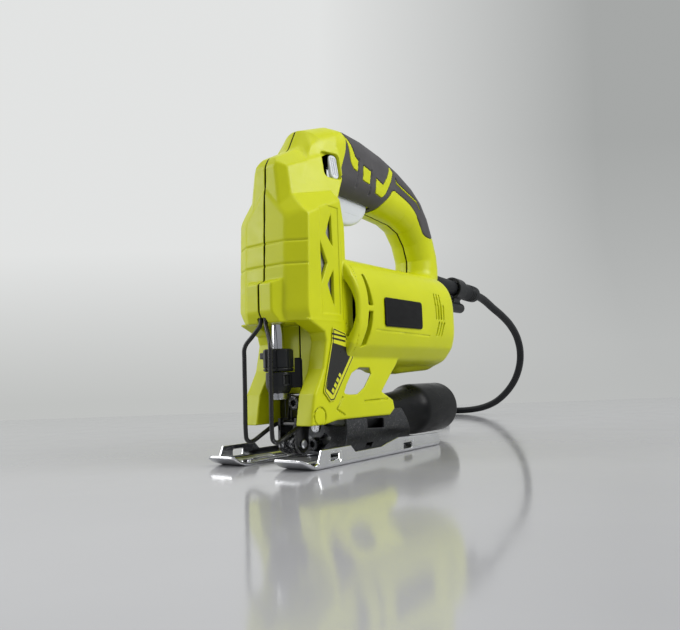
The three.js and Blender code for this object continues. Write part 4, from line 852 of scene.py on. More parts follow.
# ------------------------------------------------------------------ the housing
@dataclass(frozen=True)
class Body:
    """The moulded body's outside and inside as fields, left and right alike."""

    half: float = 25.4
    wall: float = 2.6
    motor_z: float = 84.5
    barrel: float = 33.5
    bore: float = 30.9
    barrel_front: float = 13.9
    lip: float = 8.6
    barrel_rear: float = -117.0
    crest: Outline = (
        (33.6, 178.6), (25.8, 193.2), (8, 199.7), (-7, 201.7), (-26, 201.2), (-50, 197.8),
        (-72, 192.2), (-91, 185.2), (-105, 176.7), (-114.5, 165.3), (-122, 150), (-127, 137),
        (-128.4, 126), (-128, 117), (-122, 106), (-112, 96), (-100, 96), (-98.5, 110),
        (-99.4, 120), (-100.3, 130), (-95.9, 140.8), (-87.9, 149.6), (-75.5, 153.6),
        (-60, 154.8), (-45, 156), (-28, 157), (-8, 157.6), (5, 158), (14.4, 150), (22, 150),
    )
    legs: Outline = (
        (49.6, 78), (49.6, 77), (36, 71), (34.6, 66), (35.6, 61), (38, 51), (43, 42.5),
        (46.2, 37.5), (49.4, 21), (37.3, 21), (25.7, 22.6), (-28.2, 22), (-33.9, 25.6),
        (-32.3, 31.3), (-20, 36.8), (-31.5, 47.5), (-38, 53.2), (-44, 62), (15, 66), (15, 78),
    )
    window: Outline = ((9, 51.6), (-11.9, 51.3), (2.8, 36), (18.1, 36.1), (20, 38.4))
    keel: Outline = (
        (-50, 60), (-56, 49), (-64.4, 47.4), (-104.5, 50.2), (-112, 55), (-115, 62), (-104, 66),
    )
    column: Hull = field(default_factory=lambda: Hull((35, 0, 110), (
        ((57, 0, 77), (56.3, 14.6, 77), (54.9, 0, 134.3)),
        ((56.3, 14.6, 77), (49.6, 25.4, 77), (54.2, 14.6, 134.3)),
        ((0, 25.4, 0), (1, 25.4, 0), (0, 25.4, 1)),
        ((14.1, 0, 80), (14.1, 1, 80), (14.1, 0, 132.6)),
        ((14.1, 0, 132.6), (14.1, 1, 132.6), (17.7, 0, 149)),
        ((0, 0, 77), (1, 0, 77), (0, 1, 77)),
        ((49, 25.4, 134.6), (17.7, 25.2, 149), (48.7, 15, 147.5)),
        ((54.2, 14.6, 134.3), (49, 25.4, 134.6), (48.7, 15, 147.5)),
        ((0, 0, 157.5), (1, 0, 157.5), (0, 1, 157.5)),
    )))
    head: Hull = field(default_factory=lambda: Hull((35, 0, 160), (
        ((53.8, 0, 145.7), (53.2, 0, 165.1), (53.6, 9.3, 145.6)),
        ((53.6, 9.3, 145.6), (52.7, 7.4, 165), (48.7, 15, 147.5)),
        ((48.7, 15, 147.5), (47.6, 12.4, 166.5), (12, 21, 157.5)),
        ((53.2, 0, 165.1), (50.1, 0, 170.4), (50.1, 1, 170.4)),
        ((50.1, 0, 170.4), (32.8, 0, 179.6), (32.8, 1, 179.6)),
        ((47.8, 12.4, 164.7), (25.4, 17.5, 172.3), (31.5, 8, 178.4)),
        ((0, 0, 138), (1, 0, 138), (0, 1, 138)),
        ((-0.6, 0, 182.6), (-0.6, 1, 182.6), (6.9, 0, 166.2)),
        ((7, 0, 150), (7, 1, 150), (7, 0, 170)),
    )))
    hump: Hull = field(default_factory=lambda: Hull((10, 0, 180), (
        ((25.8, 0, 193.2), (33.6, 0, 178), (33.6, 1, 178)),
        ((25.8, 0, 193.2), (25.1, 8, 190.6), (30.2, 8, 179.6)),
        ((25.8, 0, 193.2), (8, 0, 199.9), (25.1, 8, 190.6)),
        ((25.1, 8, 190.4), (28.5, 16, 177.8), (3.5, 16.2, 194.4)),
        ((0, 17.6, 0), (1, 17.6, 0), (0, 17.6, 1)),
        ((48.7, 14, 147.5), (47.6, 11.4, 166.5), (12, 20, 157.5)),
        ((-2.4, 0, 192), (-2.4, 1, 192), (-1.2, 0, 184)),
        ((-2.4, 0, 192), (-2.4, 1, 192), (5, 0, 204)),
        ((-0.6, 0, 182.6), (-0.6, 1, 182.6), (6.9, 0, 166.2)),
        ((0, 0, 160), (1, 0, 160), (0, 1, 160)),
    )))
    nose: Hull = field(default_factory=lambda: Hull((55, 0, 90), (
        ((61, 0, 82), (61, 0, 97.6), (61, 1, 82)),
        ((61, 0, 97.6), (56.6, 0, 99.6), (56.6, 1, 99.6)),
        ((57.3, 0, 76.1), (61, 0, 82), (61, 1, 82)),
        ((57, 12, 80), (62, 8.4, 80), (57, 12, 90)),
        ((50, 0, 80), (50, 1, 80), (50, 0, 90)),
        ((0, 0, 76.4), (1, 0, 76.4), (0, 1, 76.4)),
    )))

    def grip_form(self, q: Points, inset: float = 0.0) -> Array:
        """The handle: an outline in the middle plane met by its two sides in a large radius."""
        wide = np.interp(q.x, (-128, -105, -72, -30, 8, 26), (16, 15.4, 15.8, 16.3, 17.2, 14))
        side = (q.a - wide.astype(np.float32))
        return round_max(polygon(q.x, q.z, self.crest), side, 13.0) + inset

    def barrel_form(self, q: Points) -> Array:
        """The motor barrel: a full section, creased below, with a domed rear end."""
        dz = np.abs(q.z - self.motor_z)
        r = ((q.a + 1e-3) ** 3.05 + dz ** 3.05) ** (1 / 3.05) - self.barrel
        for (ya, za), (yb, zb) in (((33.1, 72), (30.9, 64.2)), ((30.9, 64.2), (24.6, 55.8))):
            s = math.hypot(ya - yb, za - zb)
            r = soft_max(r, ((q.a - ya) * (za - zb) - (q.z - za) * (ya - yb)) / s, 0.5)
        r = round_max(r, self.barrel_rear - q.x, 15.0)
        bow = np.minimum((dz / 17.5) ** 2, 1.2) * 3.2
        return round_max(r, q.x - self.barrel_front - bow, 2.3)

    def lower_form(self, q: Points) -> Array:
        """The legs and the foot: an outline between two flat sides, with the front well cut in."""
        d = soft_max(polygon(q.x, q.z, self.legs), q.a - self.half, 1.6)
        well = np.maximum(np.maximum(27 - q.x, q.a - 14), q.z - 77)
        bay = np.maximum(np.maximum(q.x - 20, q.a - 24.2), q.z - 62)
        d = soft_max(d, -well, 0.8)
        d = soft_max(d, -bay, 0.4)
        return soft_max(d, -(polygon(q.x, q.z, rounded(self.window)) + 0.2), 0.9)

    def outside(self, q: Points) -> Array:
        """The body's outside, before its grooves and pockets."""
        column = self.column.at(q, 0.9)
        for (xa, ya), (xb, yb), drop in (((57, 0), (56.4, 14.6), 1.6), ((56.4, 14.6), (49.8, 25.4), 1.6)):
            s = math.hypot(xa - xb, ya - yb)
            out = ((q.x - xa) * (yb - ya) - (q.a - ya) * (xb - xa)) / s
            column = soft_max(column, (out + (83.6 - q.z) * drop / 6.6) * 0.97, 0.6)
        far = (q.y < 0) & (q.z < 92) & (q.x > 30)
        if far.any():
            cut = ((q.x[far] - 49.8) * 0.32 + (q.a[far] - 25.4) * 0.78 - (q.z[far] - 85.5) * 0.53)
            column[far] = soft_max(column[far], cut, 0.6)
        d = soft_min(column, self.head.at(q, 0.9), 0.3)
        handle = self.grip_form(q)
        hump = soft_max(self.hump.at(q, 1.2), -(q.z - 160), 0.1)
        d = soft_min(d, soft_min(handle, hump, 1.5), 1.6)
        barrel = self.barrel_form(q)
        keel = soft_max(polygon(q.x, q.z, self.keel), q.a - 13, 6)
        d = soft_min(d, soft_min(barrel, keel, 5), 0.9)
        rear = q.x < -60
        if rear.any():
            d[rear] = soft_min(barrel[rear], handle[rear], 7.0)
            d[rear] = soft_min(d[rear], keel[rear], 5.0)
        d = soft_min(d, self.lower_form(q), 0.8)
        return soft_min(d, self.nose.at(q, 0.8), 0.7)

    def cavity(self, q: Points) -> Array:
        """The room inside: the column and the head, the handle, and the motor's bore."""
        d = np.minimum(self.column.at(q, 0.5), self.head.at(q, 0.5)) + self.wall
        d = np.minimum(d, np.maximum(self.grip_form(q, 4.2), 110 - q.z))
        bore = np.hypot(q.y, q.z - self.motor_z) - self.bore
        bore = np.maximum(np.maximum(bore, -94 - q.x), q.x - 27)
        floor = np.maximum(16 - q.x, q.z - 79.6)
        side = np.maximum(np.maximum(self.lip - q.x, 22.8 - q.a), q.a - self.half)
        return np.minimum(d, np.maximum(np.maximum(bore, -floor), -side))


@dataclass(frozen=True)
class Screw:
    """A screw that joins the halves: its place and the body's half width there."""

    name: str
    x: float
    z: float
    half: float


SCREWS = (
    Screw("head", 31, 171, 17.8),
    Screw("handle", -62, 174, 12.6),
    Screw("spine", -112, 140, 14.6),
    Screw("wall", 23.5, 66, 24.9),
    Screw("leg", 23.5, 46, 24.9),
)


@dataclass(frozen=True)
class GripPlan:
    """Where the soft grip lies on the handle, with the body showing through its cut-outs."""

    thick: float = 1.5
    gap: float = 0.14
    zone: Outline = (
        (8, 215), (1.5, 197), (-2.6, 192), (-1.2, 184), (2.4, 176), (6.6, 167), (7.4, 160),
        (5, 150), (-26, 147), (-44, 156.4), (-48, 161.8), (-53.5, 167), (-59, 173.4),
        (-66, 171.4), (-73, 169.9), (-80, 167.9), (-86, 165.1), (-91, 161.2), (-96.6, 154.3),
        (-99.8, 149.6), (-103.5, 147.6), (-110, 146.6), (-118, 149), (-135, 156), (-135, 215),
    )
    windows: tuple[Outline, ...] = (
        ((-3.4, 197), (-6.2, 193.2), (-10.6, 188.3), (-12.9, 184.5), (-16.6, 182.6),
         (-15.4, 175), (-10.6, 176), (-7.6, 179.7), (-6.2, 186.6), (-4, 192.5)),
        ((-22.4, 181), (-31.3, 179.2), (-29.2, 170), (-21.2, 171)),
        ((-56.4, 189), (-59.4, 185.2), (-56.5, 178), (-50.8, 170.3), (-47.6, 166.6),
         (-44.6, 164.5), (-36.1, 166), (-37.5, 176.2), (-46.2, 173.5), (-51.4, 180)),
        ((-62.6, 182), (-63.4, 178.2), (-77.3, 174.4), (-91.7, 170.6), (-96.4, 166),
         (-96.9, 166.6), (-91.4, 171.9), (-77.3, 175.7), (-64.4, 179.4), (-63.4, 182)),
    )
    creases: tuple[Outline, ...] = (
        ((-17.2, 183.4), (-16.4, 175), (-13.6, 165.4)),
        ((-32, 179.6), (-30.4, 171), (-29.6, 163.8)),
    )

    def area(self, q: Points) -> Array:
        """The grip's field in side view: inside its zone and outside the cut-outs."""
        d = polygon(q.x, q.z, rounded(self.zone, 2))
        for outline in self.windows:
            d = soft_max(d, -polygon(q.x, q.z, outline), 0.3)
        return d


class Side(Enum):
    """The two halves of the moulding."""

    LEFT = 1
    RIGHT = -1


@dataclass(frozen=True)
class Housing:
    """The two mouldings of the body and the grip that is moulded over each."""

    body: Body = field(default_factory=Body)
    grip: GripPlan = field(default_factory=GripPlan)
    pitch: float = 0.7
    trigger_slot: tuple[float, float, float] = (-39.6, -2.6, 8.4)
    lock_slot: tuple[float, float, float, float] = (8, 21.5, 163.2, 179.3)
    groove_z: tuple[float, ...] = (107.8, 120.4)
    foot_ring: tuple[float, float, float] = (42.3, 25.4, 4.9)
    foot_ledge: Outline = ((-0.3, 31.7), (-25.5, 32.1))
    foot_crease: Outline = ((21.4, 34.9), (27.2, 28.4), (20.1, 25.1))

    def skin_cut(self, q: Points) -> Array:
        """The step that the grip sits in."""
        deep = -(self.body.grip_form(q, self.grip.thick + 0.1))
        return np.maximum(self.grip.area(q) - self.grip.gap, deep)

    def details(self, d: Array, q: Points, side: Side) -> None:
        """Cuts the grooves, pockets, slots and holes into the outside, in place."""
        for z in self.groove_z:
            carve(d, q, (48, -1, z - 3), (60, 25.2, z + 3), lambda p, z=z: (
                np.abs(p.z - z) * 0.75 - 0.62 - self.body.column.at(p, 0.9)) * 0.8, 0.3)
        panel = ((38, 143), (20.2, 143), (20.2, 81), (37.4, 81))
        carve(d, q, (16, 22, 78), (41, 28, 146), lambda p: soft_max(
            polygon(p.x, p.z, panel) + 0.3, 24.9 - p.a, 0.2), 0.5)
        pockets = (
            ((26.4, 138.6), (31.6, 126.6), (25.6, 119.6)),
            ((25.6, 106.4), (31.2, 97.7), (25.8, 86)),
            ((37.4, 122), (36.9, 98), (31, 110)),
        )
        for outline in pockets:
            carve(d, q, (22, 20, 82), (40, 28, 142), lambda p, o=outline: soft_max(
                polygon(p.x, p.z, o), 21.6 - p.a, 0.4), 0.5)
        carve(d, q, (16, 24, 78), (20, 28, 124), lambda p: np.maximum(
            np.abs(p.x - 18.1) - 0.2, 25.1 - p.a), 0.1)
        self.foot(d, q)
        wire = np.hypot(q.x - 57.6, q.a - 1.8)
        near = (q.z < 83) & (q.z > 70) & (wire < 4)
        d[near] = soft_max(d[near], -np.maximum(wire[near] - 1.5, q.z[near] - 82), 0.3)
        rod = np.hypot(q.x - 46, q.y)
        near = (q.z < 86) & (q.z > 70) & (rod < 8)
        d[near] = soft_max(d[near], -np.maximum(rod[near] - 4.2, q.z[near] - 85), 0.3)
        self.vents(d, q)
        rear, front, half = self.trigger_slot
        carve(d, q, (rear - 2, -1, 148), (front + 2, half + 2, 172), lambda p: np.maximum(
            np.maximum(rear - p.x, p.x - front), np.maximum(p.a - half, np.abs(p.z - 160) - 10)),
            0.6)
        carve(d, q, (-142, -1, 108), (-106, 12, 130), lambda p: np.maximum(
            np.hypot(p.y, p.z - 119.5) - 6.8, p.x + 108), 0.5)
        if side is Side.LEFT:
            rear, front, low, high = self.lock_slot
            middle, reach = (low + high) / 2, (high - low) / 2
            carve(d, q, (rear - 3, 10, low - 3), (front + 3, 30, high + 3), lambda p: np.maximum(
                round_max(np.abs(p.x - (rear + front) / 2) - (front - rear) / 2,
                          np.abs(p.z - middle) - reach, 3.0), 14 - p.a), 0.9)
        else:
            for screw in SCREWS:
                carve(d, q, (screw.x - 6, screw.half - 8, screw.z - 6),
                      (screw.x + 6, 34, screw.z + 6), lambda p, s=screw: np.maximum(
                          np.hypot(p.x - s.x, p.z - s.z) - 3.7, s.half - 3.6 - p.a), 0.5)

    def foot(self, d: Array, q: Points) -> None:
        """The ring round the front of the foot, its rear ledge and the crease from the leg."""
        x, z, radius = self.foot_ring
        depth = 0.7
        skin = self.body.half - depth
        carve(d, q, (34, 22, 18), (50, 28, 34), lambda p: np.maximum(
            np.abs(np.hypot(p.x - x, p.z - z) - radius) - 0.5, skin - p.a), 0.3)
        for line in (self.foot_ledge, self.foot_crease[:2], self.foot_crease[1:]):
            carve(d, q, (-30, 22, 20), (32, 28, 40), lambda p, line=line: np.maximum(
                segment(p.x, p.z, *line) - 0.55, skin - p.a), 0.4)

    def vents(self, d: Array, q: Points) -> None:
        """The arc slot behind the inlet, the crease below the badge, and the louvres."""
        near = q.within((-12, 22, 60), (14, 40, 110))
        if near.any():
            p = q.pick(near)
            front = np.interp(p.z, (63, 67.5, 75, 83.9, 87.3, 96, 106), (9.8, 8.4, 5.9, 4.1, 4.2, 5.2, 7.2))
            rear = np.interp(p.z, (63, 67.5, 73, 78.7, 84, 87.3, 92.8, 99.3, 106),
                             (4.6, 3, 1.3, -0.2, -1, -1.2, 0.3, 2.1, 3.9))
            arc = soft_max(p.x - front, rear - p.x, 0.2)
            arc = soft_max(arc, np.abs(p.z - 85) - 20.6 + (p.x - 4) * 0.25 * np.sign(p.z - 85), 0.5)
            arc = soft_max(arc, 1.75 - np.abs(p.z - 85.6), 0.3)
            arc = np.maximum(arc, 22 - p.a)
            roll = np.abs((p.x + 1.5 - (front + 14.5) * 0.5)) - 3.4
            swell = self.body.barrel_form(p) - 0.45 * np.clip(1 - (roll / 3.4).clip(0, 1) ** 2, 0, 1)
            e = np.where(p.x > front - 0.5, np.minimum(d[near], swell), d[near])
            d[near] = soft_max(e, -arc, 0.8)
        carve(d, q, (-70, 28, 68), (-4, 38, 76), lambda p: np.maximum(
            np.abs(p.z - 73.3 - p.x * 0.022) - 0.2, -self.body.barrel_form(p) - 0.2), 0.7)
        rows = (
            ((-79, 97), 3.3, 0.0, 3), ((-79.5, 88.5), 4.6, 0.0, 4), ((-81.5, 77), 4.2, -0.5, 3),
        )
        for (x, z), high, lean, count in rows:
            for k in range(count):
                cx = x - 3.7 * k
                a = (cx - lean * high, z - high)
                b = (cx + lean * high, z + high)
                carve(d, q, (cx - 6, 22, z - high - 3), (cx + 6, 38, z + high + 3),
                      lambda p, a=a, b=b: np.maximum(segment(p.x, p.z, a, b) - 0.75,
                                                    -self.body.barrel_form(p) - 2.0), 0.35)

    def half_field(self, side: Side) -> Field:
        """The field of one half of the moulding."""
        def shape(q: Points) -> Array:
            d = self.body.outside(q)
            self.details(d, q, side)
            near = q.within((-140, -1, 140), (12, 22, 206))
            if near.any():
                d[near] = soft_max(d[near], -self.skin_cut(q.pick(near)), 0.15)
            inner = np.maximum(d, -self.body.cavity(q))
            for s in SCREWS:
                post = np.hypot(q.x - s.x, q.z - s.z)
                near = post < 8
                if near.any():
                    e = np.minimum(inner[near], np.maximum(d[near], post[near] - 4.4))
                    hole = post[near] - 1.9
                    if side is Side.LEFT:
                        hole = np.maximum(hole, q.a[near] - 10.3)
                    inner[near] = np.maximum(e, -hole)
            return soft_max(inner, SEAM - side.value * q.y, 0.35)
        return shape

    def grip_field(self, side: Side) -> Field:
        """The field of the grip on one half."""
        def shape(q: Points) -> Array:
            outer = self.body.grip_form(q, 0.0)
            for line in self.grip.creases:
                near = q.within((-36, 10, 160), (-10, 20, 186))
                if near.any():
                    p = q.pick(near)
                    away = np.minimum(segment(p.x, p.z, *line[:2]), segment(p.x, p.z, *line[1:]))
                    ahead = np.interp(p.z, [c[1] for c in line[::-1]], [c[0] for c in line[::-1]])
                    raised = np.clip((ahead - p.x) / 4.2, 0, 1)
                    lift = np.where(p.x < ahead, 0.45 * (1 - raised) ** 2, 0)
                    lift *= np.clip((186 - p.z) / 6, 0, 1) * np.clip((p.z - 161) / 5, 0, 1)
                    groove = 1.0 * np.clip(1 - away / 1.2, 0, 1)
                    outer[near] += (groove - lift).astype(np.float32)
            d = soft_max(outer, self.grip.area(q) + self.grip.gap, 0.9)
            d = soft_max(d, -(outer + self.grip.thick), 0.1)
            rear, front, half = self.trigger_slot
            slot = np.maximum(np.maximum(rear - q.x, q.x - front), q.a - half)
            slot = np.maximum(slot, np.abs(q.z - 160) - 10)
            d = soft_max(d, -slot, 0.6)
            d = np.maximum(d, -(self.body.head.at(q, 0.9) - 0.3))
            return soft_max(d, SEAM - side.value * q.y, 0.35)
        return shape

    def build(self) -> dict[str, bpy.types.Object]:
        """Makes the two halves and the two grips."""
        made = {}
        for side in Side:
            name = side.name.lower()
            y = sorted((0.0, side.value * 35.0))
            made[f"housing_{name}"] = moulded(
                f"body_shell_{name}", self.half_field(side),
                (-132, y[0], 18), (64, y[1], 204), self.pitch, 0.5)
            made[f"grip_{name}"] = moulded(
                f"soft_grip_{name}", self.grip_field(side),
                (-132, y[0], 142), (12, y[1], 204), 0.6, 0.6)
        return made


# ------------------------------------------------------------------ plates and keys
@dataclass(frozen=True)
class Plates:
    """The label on the leg and the badge on the barrel, both without words."""

    seat: float = 25.7
    thick: float = 0.5
    edge: Outline = (
        (29.8, 74), (18, 71.3), (10.5, 57.1), (30, 33.4), (34, 32.8), (39.8, 38.6), (31, 66),
    )
    badge: tuple[float, float, float, float] = (-58.2, -12.8, 75.7, 93.3)

    def art(self, x: Array, z: Array) -> Array:
        """The ink of the label: an edge line, two bars, a dark field and a row of blocks.

        The value is below zero under the ink. The blocks lie along the plate's lower rear edge.
        """
        line = np.abs(polygon(x, z, self.edge) + 1.1) - 0.33
        field_shape = ((30.6, 65.2), (14.9, 62.6), (13.3, 58.8), (31.6, 36.4), (37.4, 40.2))
        field_edge = polygon(x, z, field_shape)
        bars = np.full(x.shape, 9.0)
        for low, slant in ((69.4, 0.12), (66.9, 0.12)):
            bar = np.maximum(np.abs(z - low - (x - 24) * slant) - 0.55, 18.2 - x)
            bars = np.minimum(bars, np.maximum(bar, x - 30.5))
        ax, az, bx, bz = 12.2, 58.2, 31.4, 35.0
        s = math.hypot(bx - ax, bz - az)
        along = ((x - ax) * (bx - ax) + (z - az) * (bz - az)) / s
        away = ((x - ax) * (az - bz) - (z - az) * (ax - bx)) / s
        block = np.maximum(np.abs(away - 2.6) - 1.1, np.abs((along % 3.6) - 1.8) - 1.15)
        block = np.maximum(block, np.abs(along - 22.6) - 7.2)
        ink = np.minimum(np.minimum(line, bars), field_edge)
        return np.maximum(ink, -block)

    def label(self) -> bpy.types.Object:
        """The label's plate, with its art as an attribute."""
        def shape(q: Points) -> Array:
            d = round_max(polygon(q.x, q.z, self.edge) + 0.15,
                          np.abs(q.y - self.seat - self.thick / 2) - self.thick / 2, 0.18)
            return d
        piece = moulded("leg_sticker_plate", shape, (9, 25, 31), (41, 27, 76), 0.3)
        co = np.empty(3 * len(piece.data.vertices), np.float32)
        piece.data.vertices.foreach_get("co", co)
        co = co.reshape(-1, 3) / MM
        layer = piece.data.attributes.new("art", "FLOAT", "POINT")
        layer.data.foreach_set("value", self.art(co[:, 0], co[:, 2]).astype(np.float32))
        return piece

    def plate(self) -> bpy.types.Object:
        """The badge: a bare plate that follows the barrel, with a fine rim."""
        body = Body()
        x0, x1, z0, z1 = self.badge
        def shape(q: Points) -> Array:
            card = round_max(np.abs(q.x - (x0 + x1) / 2) - (x1 - x0) / 2,
                             np.abs(q.z - (z0 + z1) / 2) - (z1 - z0) / 2, 2.0)
            skin = body.barrel_form(q) - 0.25
            rim = 0.16 * np.clip(1 - np.abs(card + 0.9) / 0.5, 0, 1)
            d = round_max(card, np.abs(skin - 0.3) - 0.35 - rim, 0.25)
            return np.maximum(d, 20 - q.y)
        return moulded("barrel_badge_plate", shape, (-60, 31, 74), (-11, 36, 95), 0.4, 0.6)

    def build(self, palette: Palette) -> None:
        """Makes both plates."""
        seat(self.label(), "housing", "black_nylon", palette.sticker, "leg_label")
        seat(self.plate(), "housing", "black_nylon", palette.badge, "barrel_badge")


@dataclass(frozen=True)
class Keys:
    """The trigger and the sliding lock button."""

    outline: Outline = (
        (-3.3, 162.8), (-4.1, 157.5), (-6.4, 144), (-8.7, 141.3), (-19.6, 142), (-28.5, 145.6),
        (-34, 150), (-37.6, 154.4), (-38.4, 160), (-38.4, 166), (-36, 168), (-31, 168), (-24, 165),
    )
    half: float = 7.5
    pivot: tuple[float, float, float] = (-35.4, 164.6, 1.8)
    slot: tuple[float, float, float] = (8.4, 163.6, 178.9)
    slant: float = 0.16216

    def trigger(self) -> bpy.types.Object:
        """The trigger: its outline rounded into its sides, with a shallow finger hollow."""
        edge = rounded(self.outline, 2)
        px, pz, r = self.pivot
        def shape(q: Points) -> Array:
            d = round_max(polygon(q.x, q.z, edge), q.a - self.half, 2.6)
            hollow = 0.9 * np.exp(-((q.x + 20) / 12) ** 2) * np.exp(-(q.y / 4.5) ** 2)
            d = d + np.where(q.z < 150, hollow, 0).astype(np.float32)
            return soft_max(d, r - np.hypot(q.x - px, q.z - pz), 0.3)
        return moulded("trigger_key", shape, (-40, -8, 140), (-2, 8, 169), 0.5, 0.6)

    def button(self) -> bpy.types.Object:
        """The lock button: a rounded key with grip ribs on a carrier that runs under the wall."""
        x0, z0, z1 = self.slot
        c = 1 / math.hypot(1, self.slant)
        head = Body().head
        def shape(q: Points) -> Array:
            deep = (21.6 - q.y - (q.x - 8) * self.slant) * c
            across = q.z - (z0 + z1) / 2
            key = round_max(np.abs(q.x - x0 - 3.3) - 3.2, np.abs(across) - (z1 - z0) / 2, 2.8)
            top = np.maximum(-deep + 0.3, head.at(q, 0.9) + 1.4)
            key = round_max(key, top, 0.9)
            key = np.maximum(key, deep - 5.1)
            for k in range(3):
                rib = np.abs(q.x - x0 - 1.7 - 1.6 * k) - 0.22
                key = soft_max(key, -np.maximum(rib, np.maximum(np.abs(across) - 5.4, -top - 0.45)), 0.4)
            base = round_max(np.abs(q.x - 11.75) - 4.7, np.abs(q.z - 171.4) - 8.1, 0.5)
            base = np.maximum(base, np.abs(deep - 4.2) - 0.9)
            base = np.maximum(base, head.at(q, 0.9) + 3.0)
            return np.minimum(key, base)
        return moulded("lock_key", shape, (6, 12, 162), (18, 22, 181), 0.35, 0.6)

    def build(self, palette: Palette) -> None:
        """Makes the keys."""
        seat(self.trigger(), "trigger", "pale_abs", palette.pale, "trigger")
        seat(self.button(), "lock_button", "pale_abs", palette.pale, "lock_button")


# ------------------------------------------------------------------ blade drive
@dataclass(frozen=True)
class Clamp:
    """The blade clamp on the plunger: a faceted head, a turning collar with its lever, and a tip."""

    x: float = 46.0
    head: float = 8.5
    collar: float = 7.3
    low: float = 50.3
    high: float = 62.7
    foot: float = 38.0
    sides: int = 10

    def facets(self, q: Points, radius: float, count: int, start: float) -> Array:
        """A prism of flat sides about the plunger: the largest of its sides' distances."""
        d = None
        for k in range(count):
            a = start + 2 * math.pi * k / count
            e = (q.x - self.x) * math.cos(a) + q.y * math.sin(a) - radius
            d = e if d is None else np.maximum(d, e)
        return d

    def head_piece(self) -> bpy.types.Object:
        """The head: flat sides with a rib on every second edge, chamfered, with a side peg."""
        def shape(q: Points) -> Array:
            d = self.facets(q, self.head - 0.35, 8, math.radians(41.4 - 30))
            d = soft_max(d, np.hypot(q.x - self.x, q.y) - self.head, 0.5)
            turn = np.arctan2(q.y, q.x - self.x)
            r = np.hypot(q.x - self.x, q.y)
            for k in range(8):
                a = math.radians(41.4 - 30 + 22.5 + 45 * k)
                away = np.abs((turn - a + math.pi) % (2 * math.pi) - math.pi) * r
                d = soft_max(d, -np.maximum(away - 0.55, self.head - 0.75 - r), 0.4)
            middle = (self.low + self.high) / 2
            d = round_max(d, np.abs(q.z - middle) - (self.high - self.low) / 2, 1.1)
            d = soft_max(d, -np.maximum(np.abs(q.z - self.low - 1.9) - 0.25, self.head - 0.9 - r), 0.3)
            peg = round_max(round_max(np.abs(q.x - self.x - 0.5) - 2.4, np.abs(q.z - 59.3) - 1.8, 0.6),
                            np.abs(q.y + 9.3) - 2.2, 0.5)
            d = soft_min(d, peg, 0.5)
            return soft_max(d, 3.8 - r, 0.3)
        return moulded("clamp_head_block", shape, (36.5, -12, 50), (55.5, 9, 63), 0.32, 0.6)

    def collar_piece(self) -> bpy.types.Object:
        """The collar: shallow flutes, a tapered foot, a framed pocket, and the curved lever."""
        def shape(q: Points) -> Array:
            r = np.hypot(q.x - self.x, q.y)
            turn = np.arctan2(q.y, q.x - self.x)
            taper = self.collar - 1.9 * np.clip((42.6 - q.z) / 4.6, 0, 1) ** 1.4
            d = self.facets(q, 0.0, 8, math.radians(12)) - taper + 0.3
            d = soft_max(d, r - taper, 0.6)
            d = round_max(d, np.maximum(self.foot - q.z, q.z - self.low + 0.3), 0.5)
            pocket_at = math.radians(82)
            across = ((turn - pocket_at + math.pi) % (2 * math.pi) - math.pi) * r
            window = round_max(np.abs(across) - 2.2, np.abs(q.z - 45.6) - 2.7, 0.5)
            frame_rim = np.maximum(np.abs(window - 0.25) - 0.35, r - self.collar + 0.02)
            d = soft_min(d, np.maximum(frame_rim, 5.4 - r), 0.3)
            d = soft_max(d, -np.maximum(window + 0.25, self.collar - 1.1 - r), 0.25)
            bar = np.maximum(np.abs(across) - 0.5, np.abs(q.z - 45.6) - 2.4)
            d = np.minimum(d, np.maximum(bar, np.maximum(r - self.collar + 0.5, 5.5 - r)))
            d = np.maximum(d, 5.2 - r)
            c, s = math.cos(math.radians(135)), math.sin(math.radians(135))
            u = (q.x - self.x) * c + q.y * s
            v = -(q.x - self.x) * s + q.y * c
            bow = 0.035 * (u - 6) ** 2
            plate = round_max(np.abs(v + bow - 0.4) - 0.85, np.abs(u - 9.6) - 3.3, 0.7)
            plate = round_max(plate, np.abs(q.z - 49.5) - 8.4, 1.4)
            plate = np.maximum(plate, np.where(q.z > 49.9, 8.9 - r, -1))
            lip = np.maximum(np.abs(u - 12.6) - 0.35, np.abs(q.z - 49.5) - 7.2)
            plate = soft_min(plate, np.maximum(lip, np.abs(v + bow - 0.4) - 1.15), 0.3)
            return soft_min(d, plate, 0.6)
        return moulded("clamp_collar_ring", shape, (32, -8, 37), (55, 14, 59), 0.32, 0.6)

    def build(self, palette: Palette) -> None:
        """Makes the clamp and the plunger."""
        seat(self.head_piece(), "plunger", "black_nylon", palette.nylon, "clamp_head")
        seat(self.collar_piece(), "clamp_collar", "black_nylon", palette.nylon, "clamp_collar")
        tip = lambda q: np.maximum(
            round_max(np.hypot(q.x - self.x, q.y) - 4.9, np.abs(q.z - 42.45) - 7.45, 0.5),
            -np.maximum(np.maximum(np.abs(q.x - self.x) - 3.8, np.abs(q.y) - 0.7), q.z - 47))
        seat(moulded("clamp_tip_socket", tip, (41, -5, 34.5), (51, 5, 50.5), 0.3, 0.6),
             "plunger", "bright_steel", palette.steel, "clamp_tip")
        rod = lathed("plunger_bar", ((50.2, 0), (50.2, 3.5, 0.4), (146, 3.5, 0.6), (146, 0)), "z",
                     (self.x, 0, 0), 64)
        seat(rod, "plunger", "bright_steel", palette.chrome, "plunger_rod")


